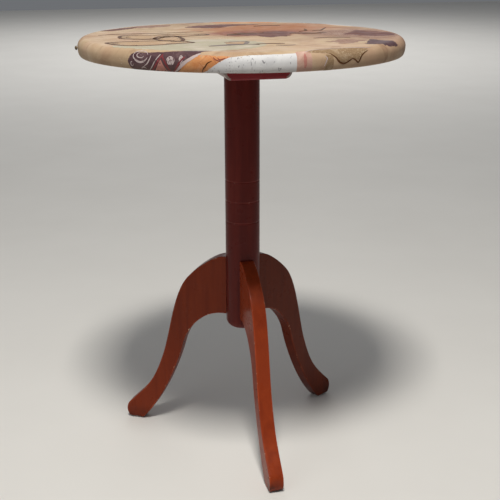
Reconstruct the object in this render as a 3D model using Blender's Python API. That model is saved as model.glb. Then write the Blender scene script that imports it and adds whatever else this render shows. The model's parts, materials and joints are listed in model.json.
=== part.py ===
"""Tilt top table: a round top on a turned column with three shaped board legs.

The top tips up about two pins at the rear of a block fixed on the column, and a slide bolt
under its front edge locks it level. Metres, +Z up. The origin is on the floor under the
column's axis, and the front leg points to -Y.
"""

import math

import bmesh
import bpy
from mathutils import Matrix, Vector
from mathutils.geometry import interpolate_bezier

X = Vector((1, 0, 0))
Y = Vector((0, 1, 0))
Z = Vector((0, 0, 1))

# Driving dimensions
TABLE_HEIGHT = 0.746
TOP_RADIUS = 0.275
TOP_THICKNESS = 0.030
COLUMN_RADIUS = 0.0308
LEG_WIDTH = 0.025
GAP = 0.0003            # between pieces that touch or rest on each other
RUNNING_GAP = 0.0001    # between a pin and the bore that turns on it
OVERLAP = 0.0004        # how far solids that are joined reach into each other
PAST = 0.010            # how far a cutter runs past the face that it cuts

# Top
UNDERSIDE = TABLE_HEIGHT - TOP_THICKNESS
COVER_THICKNESS = 0.0005
RIM_UPPER_ROUND = 0.015
RIM_LOWER_ROUND = 0.005
RIM_STEPS = 4
TOP_SIDES = 64

# Column and its tenon
COLUMN_BOTTOM = 0.2175
COLUMN_END_ROUND = 0.014
COLUMN_SIDES = 32
COLUMN_ROUND_STEPS = 4
RING_HEIGHTS = (0.420, 0.458, 0.495)
RING_WIDTH = 0.0024
RING_DEPTH = 0.001
TENON_RADIUS = 0.016
WEDGE_WIDTH = 0.0022
WEDGE_DEPTH = 0.020

# Block under the top
BLOCK_BOTTOM = 0.685
BLOCK_TOP = UNDERSIDE - GAP
BLOCK_FRONT = -0.115
BLOCK_HALF_WIDTH = 0.0560
BLOCK_END_ROUND = 0.012
BLOCK_END_STEPS = 6

# Tilt pivot: the block's rear upper corner is rounded about it, so the top clears it. It is
# well ahead of the line between the rear feet, so the table still stands with its top up.
PIVOT_DROP = 0.0135
PIVOT = Vector((0, 0.060, UNDERSIDE - PIVOT_DROP))
BLOCK_REAR = PIVOT.y + PIVOT_DROP - GAP
BLOCK_CORNER_STEPS = 6
PIN_RADIUS = 0.005
PIN_DEPTH = 0.025
PIN_HEAD_RADIUS = 0.008
PIN_HEAD_LENGTH = 0.002
PIN_SIDES = 20
WASHER_RADIUS = 0.009
WASHER_THICKNESS = 0.0015

# Battens: full depth round the pivot, tapering to both ends
BATTEN_WIDTH = 0.020
BATTEN_DEPTH = 0.026
BATTEN_END_DEPTH = 0.008
BATTEN_STATIONS = (-0.155, 0.020, 0.100, 0.165)
BATTEN_INNER = BLOCK_HALF_WIDTH + WASHER_THICKNESS + 2 * GAP
BATTEN_OUTER = BATTEN_INNER + BATTEN_WIDTH

# Wood screws: head radius, head height, shank radius, shank length
BATTEN_SCREW = (0.0040, 0.0028, 0.0021, 0.0190)
SMALL_SCREW = (0.0022, 0.0013, 0.0012, 0.0100)
BATTEN_SCREW_STATIONS = {"front": -0.125, "middle": 0.010, "rear": 0.145}
SCREW_IN_TOP = 0.014
SCREW_SIDES = 10
SMALL_SIDES = 8

# Legs: edges of the front leg's side view, as (distance from axis, height)
LEG_UPPER_EDGE = (
    (0.031, 0.351), (0.053, 0.352), (0.092, 0.319),
    (0.106, 0.302), (0.134, 0.267), (0.141, 0.189),
    (0.157, 0.143), (0.177, 0.085), (0.189, 0.073),
    (0.229, 0.034), (0.238, 0.026), (0.238, 0.010), (0.230, 0.0023),
)
LEG_LOWER_EDGE = (
    (0.202, 0.0023), (0.163, 0.043), (0.129, 0.120),
    (0.116, 0.170), (0.106, 0.206), (0.073, 0.243), (0.031, 0.240),
)
LEG_CURVE_STEPS = 7
LEG_ROOT = 0.020
LEG_TURNS = {"front": 0, "right": 120, "left": -120}
DOWEL_RADIUS = 0.005
DOWEL_HEIGHTS = {"lower": 0.268, "upper": 0.322}
DOWEL_START = 0.013
DOWEL_END = 0.062
PAD_RADIUS = 0.010
PAD_THICKNESS = 0.002
PAD_DISTANCE = 0.216
PAD_SIDES = 20

# Catch: heights hang from the underside, and the bolt slides towards +Y
PLATE_THICKNESS = 0.002
PLATE_TOP = UNDERSIDE - GAP
PLATE_BOTTOM = PLATE_TOP - PLATE_THICKNESS
PLATE_HALF_WIDTH = 0.014
PLATE_ENDS = (-0.178, -0.128)
BOLT_HALF_WIDTH = 0.005
BOLT_DEPTH = 0.0036
BOLT_TOP = PLATE_BOTTOM - GAP
BOLT_BOTTOM = BOLT_TOP - BOLT_DEPTH
BOLT_ENDS = (-0.173, -0.127)
GUIDE_WALL = 0.0012
GUIDE_LENGTH = 0.005
GUIDE_STATIONS = (-0.165, -0.135)
KNOB_STATION = -0.150
KNOB_SPIGOT_RADIUS = 0.0015
KNOB_SPIGOT_LENGTH = 0.002
KNOB_OUTLINE = ((0.0024, GAP), (0.0035, 0.0020), (0.0033, 0.0034), (0.0018, 0.0042))
CATCH_SCREWS = {"front_left": (-0.0105, -0.1725), "front_right": (0.0105, -0.1725),
                "rear_left": (-0.0105, -0.1335), "rear_right": (0.0105, -0.1335)}

# Keeper: an angle on the block's front face whose lip traps the bolt
KEEPER_THICKNESS = 0.0015
KEEPER_REAR = BLOCK_FRONT - GAP
KEEPER_FRONT = KEEPER_REAR - KEEPER_THICKNESS
KEEPER_HALF_WIDTH = 0.012
KEEPER_HEIGHT = 0.012
BOLT_CLEARANCE = 0.002    # between the lip and the bolt when it is drawn back
LIP_FRONT = BOLT_ENDS[1] + BOLT_CLEARANCE
LIP_HALF_WIDTH = 0.008
KEEPER_SCREWS = {"left": -0.0085, "right": 0.0085}
KEEPER_SCREW_DROP = 0.0078

# Stud in the rim, on the left
STUD_ANGLE = math.radians(175)
STUD_RADIUS = 0.0036
STUD_PROUD = 0.0042
STUD_DROP = 0.002
STUD_SHANK_RADIUS = 0.0012
STUD_SHANK_LENGTH = 0.010


def material(name, colour, roughness, metallic=0.0):
    mat = bpy.data.materials.new(name)
    mat.use_nodes = True
    shader = mat.node_tree.nodes["Principled BSDF"]
    shader.inputs["Base Color"].default_value = (*colour, 1.0)
    shader.inputs["Roughness"].default_value = roughness
    shader.inputs["Metallic"].default_value = metallic
    return mat


def frame_along(origin, direction):
    """A matrix that takes +Z to the direction and the origin to the point."""
    turn = Z.rotation_difference(Vector(direction)).to_matrix().to_4x4()
    return Matrix.Translation(origin) @ turn


def turned(profile, sides, origin=(0, 0, 0), direction=(0, 0, 1), ring=False):
    """A solid of revolution from (radius, height) points that run from bottom to top.

    A ring's profile is a closed loop; any other solid gets a flat face at each end.
    """
    bm = bmesh.new()
    rows = []
    for radius, height in profile:
        angles = (math.tau * k / sides for k in range(sides))
        rows.append([bm.verts.new((radius * math.cos(a), radius * math.sin(a), height)) for a in angles])
    pairs = list(zip(rows, rows[1:]))
    if ring:
        pairs.append((rows[-1], rows[0]))
    else:
        bm.faces.new(rows[0])
        bm.faces.new(rows[-1])
    for low, high in pairs:
        for k in range(sides):
            after = (k + 1) % sides
            bm.faces.new((low[k], low[after], high[after], high[k]))
    bm.transform(frame_along(origin, direction))
    bmesh.ops.recalc_face_normals(bm, faces=bm.faces)
    return bm


def rod(radius, origin, direction, length, sides=12):
    return turned(((radius, 0), (radius, length)), sides, origin, direction)


def extruded(outline, travel):
    """A prism from an outline of points, pushed along the travel vector."""
    bm = bmesh.new()
    face = bm.faces.new([bm.verts.new(point) for point in outline])
    pushed = bmesh.ops.extrude_face_region(bm, geom=[face])
    moved = [item for item in pushed["geom"] if isinstance(item, bmesh.types.BMVert)]
    bmesh.ops.translate(bm, vec=travel, verts=moved)
    bmesh.ops.recalc_face_normals(bm, faces=bm.faces)
    return bm


def box(low, high):
    low = Vector(low)
    high = Vector(high)
    corners = [(low.x, low.y), (high.x, low.y), (high.x, high.y), (low.x, high.y)]
    return extruded([(x, y, low.z) for x, y in corners], (0, 0, high.z - low.z))


def joined(*solids):
    """One mesh that holds several separate solids."""
    whole = bmesh.new()
    for solid in solids:
        mesh = bpy.data.meshes.new("part_of_whole")
        solid.to_mesh(mesh)
        solid.free()
        whole.from_mesh(mesh)
        bpy.data.meshes.remove(mesh)
    return whole


def piece(name, bm, mat, smooth_degrees=None):
    """An object of this name and material, made from the solid."""
    mesh = bpy.data.meshes.new(name)
    bm.to_mesh(mesh)
    bm.free()
    mesh.materials.append(mat)
    obj = bpy.data.objects.new(name, mesh)
    bpy.context.scene.collection.objects.link(obj)
    shade(obj, smooth_degrees)
    return obj


def shade(obj, smooth_degrees):
    if smooth_degrees is not None:
        obj.data.shade_smooth()
        obj.data.set_sharp_from_angle(angle=math.radians(smooth_degrees))


def boolean(obj, bm, operation, smooth_degrees=None):
    """Cuts the solid from the object, or adds it, and keeps the result as its mesh."""
    tool = piece(obj.name + "_tool", bm, obj.data.materials[0])
    step = obj.modifiers.new(operation, "BOOLEAN")
    step.operation = operation
    step.object = tool
    step.solver = "EXACT"
    graph = bpy.context.evaluated_depsgraph_get()
    result = bpy.data.meshes.new_from_object(obj.evaluated_get(graph))
    obj.modifiers.remove(step)
    tool_mesh = tool.data
    bpy.data.objects.remove(tool)
    bpy.data.meshes.remove(tool_mesh)
    old = obj.data
    obj.data = result
    bpy.data.meshes.remove(old)
    obj.data.name = obj.name
    shade(obj, smooth_degrees)


def cut(obj, *solids, smooth_degrees=None):
    boolean(obj, joined(*solids), "DIFFERENCE", smooth_degrees)


def bezier_points(knots, steps):
    """Points along joined cubic curves, whose knots are end, handle, handle, end, and so on."""
    points = []
    for k in range(0, len(knots) - 1, 3):
        ends = [Vector(knots[k + j]) for j in range(4)]
        stretch = interpolate_bezier(ends[0], ends[1], ends[2], ends[3], steps + 1)
        points += stretch if not points else stretch[1:]
    return points


def turned_copy(obj, name, degrees):
    """A copy that shares the mesh, turned about the column's axis."""
    copy = bpy.data.objects.new(name, obj.data)
    copy.rotation_euler.z = math.radians(degrees)
    bpy.context.scene.collection.objects.link(copy)
    return copy


def rim_profile(inset):
    """The top's outer outline, moved inwards, from the underside's edge to the flat top."""
    radius = TOP_RADIUS - inset
    middle = UNDERSIDE + RIM_UPPER_ROUND
    points = []
    for k in range(RIM_STEPS):
        a = math.pi / 2 * (1 - k / RIM_STEPS)
        across = RIM_LOWER_ROUND * (1 - math.cos(a))
        points.append((radius - across, middle - RIM_UPPER_ROUND * math.sin(a)))
    for k in range(RIM_STEPS + 1):
        a = math.pi / 2 * k / RIM_STEPS
        across = RIM_UPPER_ROUND * (1 - math.cos(a))
        points.append((radius - across, middle + (RIM_UPPER_ROUND - inset) * math.sin(a)))
    return points


def screw(name, mat, point, direction, size, sides=SCREW_SIDES):
    """A dome-headed screw whose head's flat lies at the point and whose shank follows direction."""
    head_radius, head_height, shank_radius, shank_length = size
    profile = (
        (shank_radius * 0.3, shank_length), (shank_radius, shank_length - 2 * shank_radius),
        (shank_radius, 0), (head_radius, 0), (head_radius * 0.9, -0.6 * head_height),
        (head_radius * 0.45, -head_height),
    )
    return piece(name, turned(profile[::-1], sides, point, direction), mat, 40)


def make_top(wood, paper):
    core_inset = COVER_THICKNESS + GAP
    core = piece("tabletop", turned(rim_profile(core_inset), TOP_SIDES), wood, 35)
    outer = rim_profile(0)
    inner = rim_profile(COVER_THICKNESS)
    cover = piece("printed_cover", turned(outer, TOP_SIDES), paper, 35)
    below = ((inner[0][0], UNDERSIDE - PAST), *inner)
    cut(cover, turned(below, TOP_SIDES), smooth_degrees=35)
    return core, cover


def make_column(wood, wedge_wood):
    rounding = []
    for k in range(COLUMN_ROUND_STEPS + 1):
        a = math.pi / 2 * k / COLUMN_ROUND_STEPS
        rounding.append((COLUMN_RADIUS - COLUMN_END_ROUND * (1 - math.sin(a)),
                         COLUMN_BOTTOM + COLUMN_END_ROUND * (1 - math.cos(a))))
    rings = []
    for height in RING_HEIGHTS:
        rings += [(COLUMN_RADIUS, height - RING_WIDTH / 2), (COLUMN_RADIUS - RING_DEPTH, height),
                  (COLUMN_RADIUS, height + RING_WIDTH / 2)]
    shoulder = BLOCK_BOTTOM - GAP
    tenon = [(COLUMN_RADIUS, shoulder), (TENON_RADIUS, shoulder), (TENON_RADIUS, BLOCK_TOP)]
    column = piece("column", turned(rounding + rings + tenon, COLUMN_SIDES), wood, 40)
    half = WEDGE_WIDTH / 2
    slot_low = (-TENON_RADIUS * 2, -half - GAP, BLOCK_TOP - WEDGE_DEPTH - GAP)
    cut(column, box(slot_low, (TENON_RADIUS * 2, half + GAP, BLOCK_TOP + PAST)), smooth_degrees=40)
    reach = TENON_RADIUS - 0.001
    piece("tenon_wedge", box((-reach, -half, BLOCK_TOP - WEDGE_DEPTH), (reach, half, BLOCK_TOP)), wedge_wood)
    return column


def make_legs(wood, dowel_wood, pad_material, column):
    upper = bezier_points([(0, -r, z) for r, z in LEG_UPPER_EDGE], LEG_CURVE_STEPS)
    lower = bezier_points([(0, -r, z) for r, z in LEG_LOWER_EDGE], LEG_CURVE_STEPS)
    root = [(0, -LEG_ROOT, lower[-1].z), (0, -LEG_ROOT, upper[0].z)]
    outline = [Vector(point) - X * LEG_WIDTH / 2 for point in upper + lower + root]
    leg = piece("leg_front", extruded(outline, X * LEG_WIDTH), wood, 30)
    cope_height = upper[0].z - lower[-1].z + 2 * PAST
    cope = rod(COLUMN_RADIUS + GAP, (0, 0, lower[-1].z - PAST), Z, cope_height, COLUMN_SIDES)
    cut(leg, cope, smooth_degrees=30)
    hole = DOWEL_RADIUS + GAP
    holes = [rod(hole, (0, -LEG_ROOT, z), -Y, DOWEL_END + GAP - LEG_ROOT) for z in DOWEL_HEIGHTS.values()]
    cut(leg, *holes, smooth_degrees=30)
    pad_profile = ((PAD_RADIUS, 0), (PAD_RADIUS, PAD_THICKNESS))
    pad = piece("foot_pad_front", turned(pad_profile, PAD_SIDES, (0, -PAD_DISTANCE, 0)), pad_material, 40)
    length = DOWEL_END - DOWEL_START
    dowels = {level: piece("leg_dowel_front_" + level, rod(DOWEL_RADIUS, (0, -DOWEL_START, z), -Y, length),
                           dowel_wood, 40) for level, z in DOWEL_HEIGHTS.items()}
    sockets = []
    for side, degrees in LEG_TURNS.items():
        out = Matrix.Rotation(math.radians(degrees), 3, "Z") @ -Y
        for z in DOWEL_HEIGHTS.values():
            sockets.append(rod(hole, out * (DOWEL_START - GAP) + Z * z, out, COLUMN_RADIUS))
        if degrees:
            turned_copy(leg, "leg_" + side, degrees)
            turned_copy(pad, "foot_pad_" + side, degrees)
            for level, dowel in dowels.items():
                turned_copy(dowel, f"leg_dowel_{side}_{level}", degrees)
    cut(column, *sockets, smooth_degrees=40)


def make_block(paint):
    corner = [(0, PIVOT.y + (PIVOT_DROP - GAP) * math.sin(a), PIVOT.z + (PIVOT_DROP - GAP) * math.cos(a))
              for a in (math.pi / 2 * k / BLOCK_CORNER_STEPS for k in range(BLOCK_CORNER_STEPS + 1))]
    outline = [(0, BLOCK_REAR, BLOCK_BOTTOM), (0, BLOCK_FRONT, BLOCK_BOTTOM), (0, BLOCK_FRONT, BLOCK_TOP)]
    outline = [Vector(point) - X * BLOCK_HALF_WIDTH for point in outline + corner]
    block = piece("pivot_block", extruded(outline, X * 2 * BLOCK_HALF_WIDTH), paint, 30)
    start = BLOCK_FRONT - PAST
    waste = []
    for side in (-1, 1):
        centre = Vector((side * (BLOCK_HALF_WIDTH - BLOCK_END_ROUND), start, BLOCK_BOTTOM + BLOCK_END_ROUND))
        curve = [centre + BLOCK_END_ROUND * (X * side * math.sin(a) - Z * math.cos(a))
                 for a in (math.pi / 2 * k / BLOCK_END_STEPS for k in range(BLOCK_END_STEPS + 1))]
        first = curve[0] + (curve[0] - curve[1]).normalized() * PAST
        last = curve[-1] + (curve[-1] - curve[-2]).normalized() * PAST
        outside = X * side * (BLOCK_HALF_WIDTH + PAST) + Y * start
        below = BLOCK_BOTTOM - PAST
        corners = [outside + Z * last.z, outside + Z * below, Vector((first.x, start, below))]
        waste.append(extruded([first, *curve[1:-1], last, *corners], Y * (BLOCK_REAR + PAST - start)))
    cut(block, *waste, smooth_degrees=30)
    height = BLOCK_TOP - BLOCK_BOTTOM + 2 * PAST
    tenon_hole = rod(TENON_RADIUS + GAP, (0, 0, BLOCK_BOTTOM - PAST), Z, height, COLUMN_SIDES)
    depth = PIN_DEPTH + GAP
    pin_holes = [rod(PIN_RADIUS + GAP, PIVOT + X * side * (BLOCK_HALF_WIDTH - depth), X * side,
                     depth + PAST, PIN_SIDES) for side in (-1, 1)]
    head_radius, head_height, shank_radius, shank_length = SMALL_SCREW
    screw_z = UNDERSIDE - KEEPER_SCREW_DROP
    screw_holes = [rod(shank_radius + GAP, (x, start, screw_z), Y, PAST + shank_length, SMALL_SIDES)
                   for x in KEEPER_SCREWS.values()]
    cut(block, tenon_hole, *pin_holes, *screw_holes, smooth_degrees=30)


def make_pivot(iron):
    """Two headed pins driven in from outside the battens, each with a washer."""
    for name, side in (("left", -1), ("right", 1)):
        inner_end = PIVOT + X * side * (BLOCK_HALF_WIDTH - PIN_DEPTH)
        head = BATTEN_OUTER + GAP - BLOCK_HALF_WIDTH + PIN_DEPTH
        profile = ((PIN_RADIUS, 0), (PIN_RADIUS, head), (PIN_HEAD_RADIUS, head),
                   (PIN_HEAD_RADIUS * 0.8, head + PIN_HEAD_LENGTH))
        piece("pivot_pin_" + name, turned(profile, PIN_SIDES, inner_end, X * side), iron, 40)
        bore = PIN_RADIUS + GAP
        loop = ((bore, 0), (WASHER_RADIUS, 0), (WASHER_RADIUS, WASHER_THICKNESS), (bore, WASHER_THICKNESS))
        seat = PIVOT + X * side * (BLOCK_HALF_WIDTH + GAP)
        piece("pivot_washer_" + name, turned(loop, PIN_SIDES, seat, X * side, ring=True), iron, 40)


def batten_bottom(y):
    """The height of a batten's lower face at this station."""
    front, full_front, full_rear, rear = BATTEN_STATIONS
    if y < full_front:
        share = (y - front) / (full_front - front)
    elif y > full_rear:
        share = (rear - y) / (rear - full_rear)
    else:
        share = 1.0
    return UNDERSIDE - GAP - BATTEN_END_DEPTH - (BATTEN_DEPTH - BATTEN_END_DEPTH) * share


def make_battens(wood, iron, tabletop, moving):
    head_radius, head_height, shank_radius, shank_length = BATTEN_SCREW
    bore = (PIN_RADIUS + RUNNING_GAP) / math.cos(math.pi / PIN_SIDES)
    pilots = []
    for name, side in (("left", -1), ("right", 1)):
        outline = [(side * BATTEN_INNER, y, batten_bottom(y)) for y in BATTEN_STATIONS]
        ends = (BATTEN_STATIONS[-1], BATTEN_STATIONS[0])
        outline += [(side * BATTEN_INNER, y, UNDERSIDE - GAP) for y in ends]
        batten = piece("batten_" + name, extruded(outline, X * side * BATTEN_WIDTH), wood, 20)
        x = side * (BATTEN_INNER + BATTEN_OUTER) / 2
        start = PIVOT + X * side * (BATTEN_INNER - PAST)
        holes = [rod(bore, start, X * side, BATTEN_WIDTH + 2 * PAST, PIN_SIDES)]
        for station, y in BATTEN_SCREW_STATIONS.items():
            seat = UNDERSIDE + SCREW_IN_TOP - shank_length
            wide = head_radius + GAP
            narrow = shank_radius + GAP
            floor = UNDERSIDE - BATTEN_DEPTH - PAST
            profile = ((wide, floor), (wide, seat), (narrow, seat), (narrow, UNDERSIDE + PAST))
            holes.append(turned(profile, SCREW_SIDES, (x, y, 0)))
            moving.append(screw(f"batten_screw_{name}_{station}", iron, (x, y, seat - GAP), Z, BATTEN_SCREW))
            pilots.append(rod(narrow, (x, y, UNDERSIDE - PAST), Z, SCREW_IN_TOP + PAST, SCREW_SIDES))
        cut(batten, *holes, smooth_degrees=20)
        moving.append(batten)
    cut(tabletop, *pilots, smooth_degrees=35)


def make_catch(brass, tabletop, moving, sliding):
    """Plate with two guides, the bolt that slides in them, and its knob."""
    half = PLATE_HALF_WIDTH
    slab = box((-half, PLATE_ENDS[0], PLATE_BOTTOM), (half, PLATE_ENDS[1], PLATE_TOP))
    plate = piece("catch_plate", slab, brass)
    inner = BOLT_HALF_WIDTH + GAP
    outer = inner + GUIDE_WALL
    root = PLATE_BOTTOM + OVERLAP
    low = BOLT_BOTTOM - GAP
    loop = [(-outer, root), (-outer, low - GUIDE_WALL), (outer, low - GUIDE_WALL), (outer, root),
            (inner, root), (inner, low), (-inner, low), (-inner, root)]
    for y in GUIDE_STATIONS:
        start = y - GUIDE_LENGTH / 2
        boolean(plate, extruded([(x, start, z) for x, z in loop], Y * GUIDE_LENGTH), "UNION")
    head_radius, head_height, shank_radius, shank_length = SMALL_SCREW
    hole = shank_radius + GAP
    spots = CATCH_SCREWS.values()
    cut(plate, *[rod(hole, (x, y, PLATE_BOTTOM - PAST), Z, 3 * PAST, SMALL_SIDES) for x, y in spots])
    pilots = [rod(hole, (x, y, UNDERSIDE - PAST), Z, PAST + shank_length, SMALL_SIDES) for x, y in spots]
    cut(tabletop, *pilots, smooth_degrees=35)
    for name, (x, y) in CATCH_SCREWS.items():
        point = (x, y, PLATE_BOTTOM - GAP)
        moving.append(screw("catch_screw_" + name, brass, point, Z, SMALL_SCREW, SMALL_SIDES))
    moving.append(plate)

    half = BOLT_HALF_WIDTH
    bar = box((-half, BOLT_ENDS[0], BOLT_BOTTOM), (half, BOLT_ENDS[1], BOLT_TOP))
    bolt = piece("catch_bolt", bar, brass)
    socket_start = (0, KNOB_STATION, BOLT_BOTTOM - PAST)
    cut(bolt, rod(KNOB_SPIGOT_RADIUS + GAP, socket_start, Z, PAST + KNOB_SPIGOT_LENGTH + GAP))
    spigot = ((KNOB_SPIGOT_RADIUS, -KNOB_SPIGOT_LENGTH), (KNOB_SPIGOT_RADIUS, GAP))
    knob = turned((*spigot, *KNOB_OUTLINE), 12, (0, KNOB_STATION, BOLT_BOTTOM), -Z)
    sliding.append(piece("catch_knob", knob, brass, 40))
    sliding.append(bolt)


def make_keeper(brass):
    top = UNDERSIDE - GAP
    half = KEEPER_HALF_WIDTH
    leaf = box((-half, KEEPER_FRONT, top - KEEPER_HEIGHT), (half, KEEPER_REAR, top))
    keeper = piece("keeper_angle", leaf, brass)
    lip_low = (-LIP_HALF_WIDTH, LIP_FRONT, top - PLATE_THICKNESS)
    boolean(keeper, box(lip_low, (LIP_HALF_WIDTH, KEEPER_FRONT + OVERLAP, top)), "UNION")
    head_radius, head_height, shank_radius, shank_length = SMALL_SCREW
    z = UNDERSIDE - KEEPER_SCREW_DROP
    start = KEEPER_FRONT - PAST
    hole = shank_radius + GAP
    spots = KEEPER_SCREWS.values()
    cut(keeper, *[rod(hole, (x, start, z), Y, 3 * PAST, SMALL_SIDES) for x in spots])
    for name, x in KEEPER_SCREWS.items():
        screw("keeper_screw_" + name, brass, (x, KEEPER_FRONT - GAP, z), Y, SMALL_SCREW, SMALL_SIDES)


def make_stud(iron, tabletop, cover, moving):
    out = Vector((math.cos(STUD_ANGLE), math.sin(STUD_ANGLE), 0))
    seat = out * TOP_RADIUS + Z * (UNDERSIDE + RIM_UPPER_ROUND - STUD_DROP)
    dome = [(STUD_RADIUS * math.cos(a), STUD_PROUD - STUD_RADIUS + STUD_RADIUS * math.sin(a))
            for a in (math.radians(d) for d in (0, 30, 60, 80))]
    shank = ((STUD_SHANK_RADIUS, -STUD_SHANK_LENGTH), (STUD_SHANK_RADIUS, GAP), (STUD_RADIUS, GAP))
    stud = piece("rim_stud", turned([*shank, *dome], 12, seat, out), iron, 40)
    hole = STUD_SHANK_RADIUS + GAP
    reach = STUD_SHANK_LENGTH + GAP
    for body in (tabletop, cover):
        cut(body, rod(hole, seat - out * reach, out, reach + PAST), smooth_degrees=35)
    moving.append(stud)


def hang_from(parent_name, point, pieces, parent=None):
    """An empty on a joint's axis that carries the pieces, which keep their places."""
    empty = bpy.data.objects.new(parent_name, None)
    empty.location = point if parent is None else point - parent.location
    empty.parent = parent
    bpy.context.scene.collection.objects.link(empty)
    for obj in pieces:
        obj.parent = empty
        obj.matrix_parent_inverse = Matrix.Translation(-point)
    return empty


def main():
    for obj in list(bpy.data.objects):
        bpy.data.objects.remove(obj)

    brown = material("brown_varnish", (0.045, 0.012, 0.008), 0.22)
    red = material("red_paint", (0.11, 0.016, 0.018), 0.35)
    bare = material("bare_wood", (0.40, 0.27, 0.16), 0.65)
    batten_wood = material("dark_wood", (0.10, 0.05, 0.03), 0.6)
    dowel_wood = material("dowel_wood", (0.50, 0.36, 0.22), 0.6)
    paper = material("varnished_paper", (0.55, 0.40, 0.29), 0.35)
    iron = material("dark_iron", (0.08, 0.08, 0.08), 0.45, 1.0)
    brass = material("old_brass", (0.45, 0.31, 0.12), 0.4, 1.0)
    felt = material("pale_pad", (0.55, 0.54, 0.50), 0.8)

    moving = []
    sliding = []
    tabletop, cover = make_top(bare, paper)
    column = make_column(brown, dowel_wood)
    make_legs(brown, dowel_wood, felt, column)
    make_block(red)
    make_pivot(iron)
    make_battens(batten_wood, iron, tabletop, moving)
    make_catch(brass, tabletop, moving, sliding)
    make_keeper(brass)
    make_stud(iron, tabletop, cover, moving)
    tilt = hang_from("tilt_axis", PIVOT, [tabletop, cover, *moving])
    slide_point = Vector((0, BOLT_ENDS[1], (BOLT_TOP + BOLT_BOTTOM) / 2))
    hang_from("bolt_axis", slide_point, sliding, tilt)


main()
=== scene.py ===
"""The looks of a tilt top table: varnished legs and column, a painted block, old brass and iron
under the top, and a top covered in varnished paper cut-outs. Metres, +Z up.
"""

import json
import math

import bmesh
import bpy
import numpy as np
from mathutils import Matrix, Vector, noise
from mathutils.geometry import delaunay_2d_cdt, interpolate_bezier


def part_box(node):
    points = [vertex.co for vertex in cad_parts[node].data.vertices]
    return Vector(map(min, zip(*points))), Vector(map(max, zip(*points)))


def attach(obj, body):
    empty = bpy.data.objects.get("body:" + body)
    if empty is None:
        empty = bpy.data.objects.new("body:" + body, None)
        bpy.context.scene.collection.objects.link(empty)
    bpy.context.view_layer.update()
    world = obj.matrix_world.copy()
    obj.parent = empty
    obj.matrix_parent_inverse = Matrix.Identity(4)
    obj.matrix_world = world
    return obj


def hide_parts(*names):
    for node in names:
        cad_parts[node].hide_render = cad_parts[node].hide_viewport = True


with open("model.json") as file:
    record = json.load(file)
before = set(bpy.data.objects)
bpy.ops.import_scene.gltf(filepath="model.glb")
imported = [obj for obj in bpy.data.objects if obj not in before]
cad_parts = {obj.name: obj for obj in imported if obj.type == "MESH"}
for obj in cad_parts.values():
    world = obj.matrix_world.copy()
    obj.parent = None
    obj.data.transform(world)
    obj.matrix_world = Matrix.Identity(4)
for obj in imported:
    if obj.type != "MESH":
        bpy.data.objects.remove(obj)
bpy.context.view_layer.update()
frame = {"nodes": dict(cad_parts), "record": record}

X = Vector((1, 0, 0))
Y = Vector((0, 1, 0))
Z = Vector((0, 0, 1))
MM = 0.001
GAP = 0.0003
PAST = 0.01

# Places and sizes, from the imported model
COVER_LOW, COVER_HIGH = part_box("printed_cover")
TOP_RADIUS = COVER_HIGH.x
TOP_Z = COVER_HIGH.z
UNDERSIDE = COVER_LOW.z
RIM_ROUND = (TOP_Z - UNDERSIDE) / 2
RIM_LOWER_ROUND = 0.005
RIM_LOWER_LENGTH = 0.0162
FLAT_RADIUS = TOP_RADIUS - RIM_ROUND
RIM_MIDDLE = FLAT_RADIUS + RIM_ROUND * math.pi / 2
RIM_END = RIM_MIDDLE + RIM_LOWER_LENGTH
COLUMN_LOW, COLUMN_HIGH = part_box("column")
COLUMN_RADIUS = COLUMN_HIGH.x
BLOCK_LOW, BLOCK_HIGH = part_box("pivot_block")
BLOCK_END_ROUND = 0.012
LEG_LOW, LEG_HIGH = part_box("leg_front")
LEG_WIDTH = LEG_HIGH.x - LEG_LOW.x
TILT = next(joint for joint in frame["record"]["behaviour"]["joints"] if joint["type"] == "hinge")
PIVOT = Vector(TILT["pos_m"])

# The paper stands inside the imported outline: the cover a little in, each cut-out a layer up
COVER_INSET = 0.0004
COVER_THICKNESS = 0.0004
LAYER = 0.00003
LOWER_EDGE = 299    # millimetres along the surface from the centre
TEAR_COARSE = 160
TEAR_FINE = 520


# ---------------------------------------------------------------- shader graphs

WAVE_DETAIL = 3.0
STAIN_RAGGED = 1.6
STAIN_EDGE = 1.8
STAIN_SOFT = 0.35
END_WEAR_AND_REFLECTION = (0.0042, 0.0030)


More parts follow.
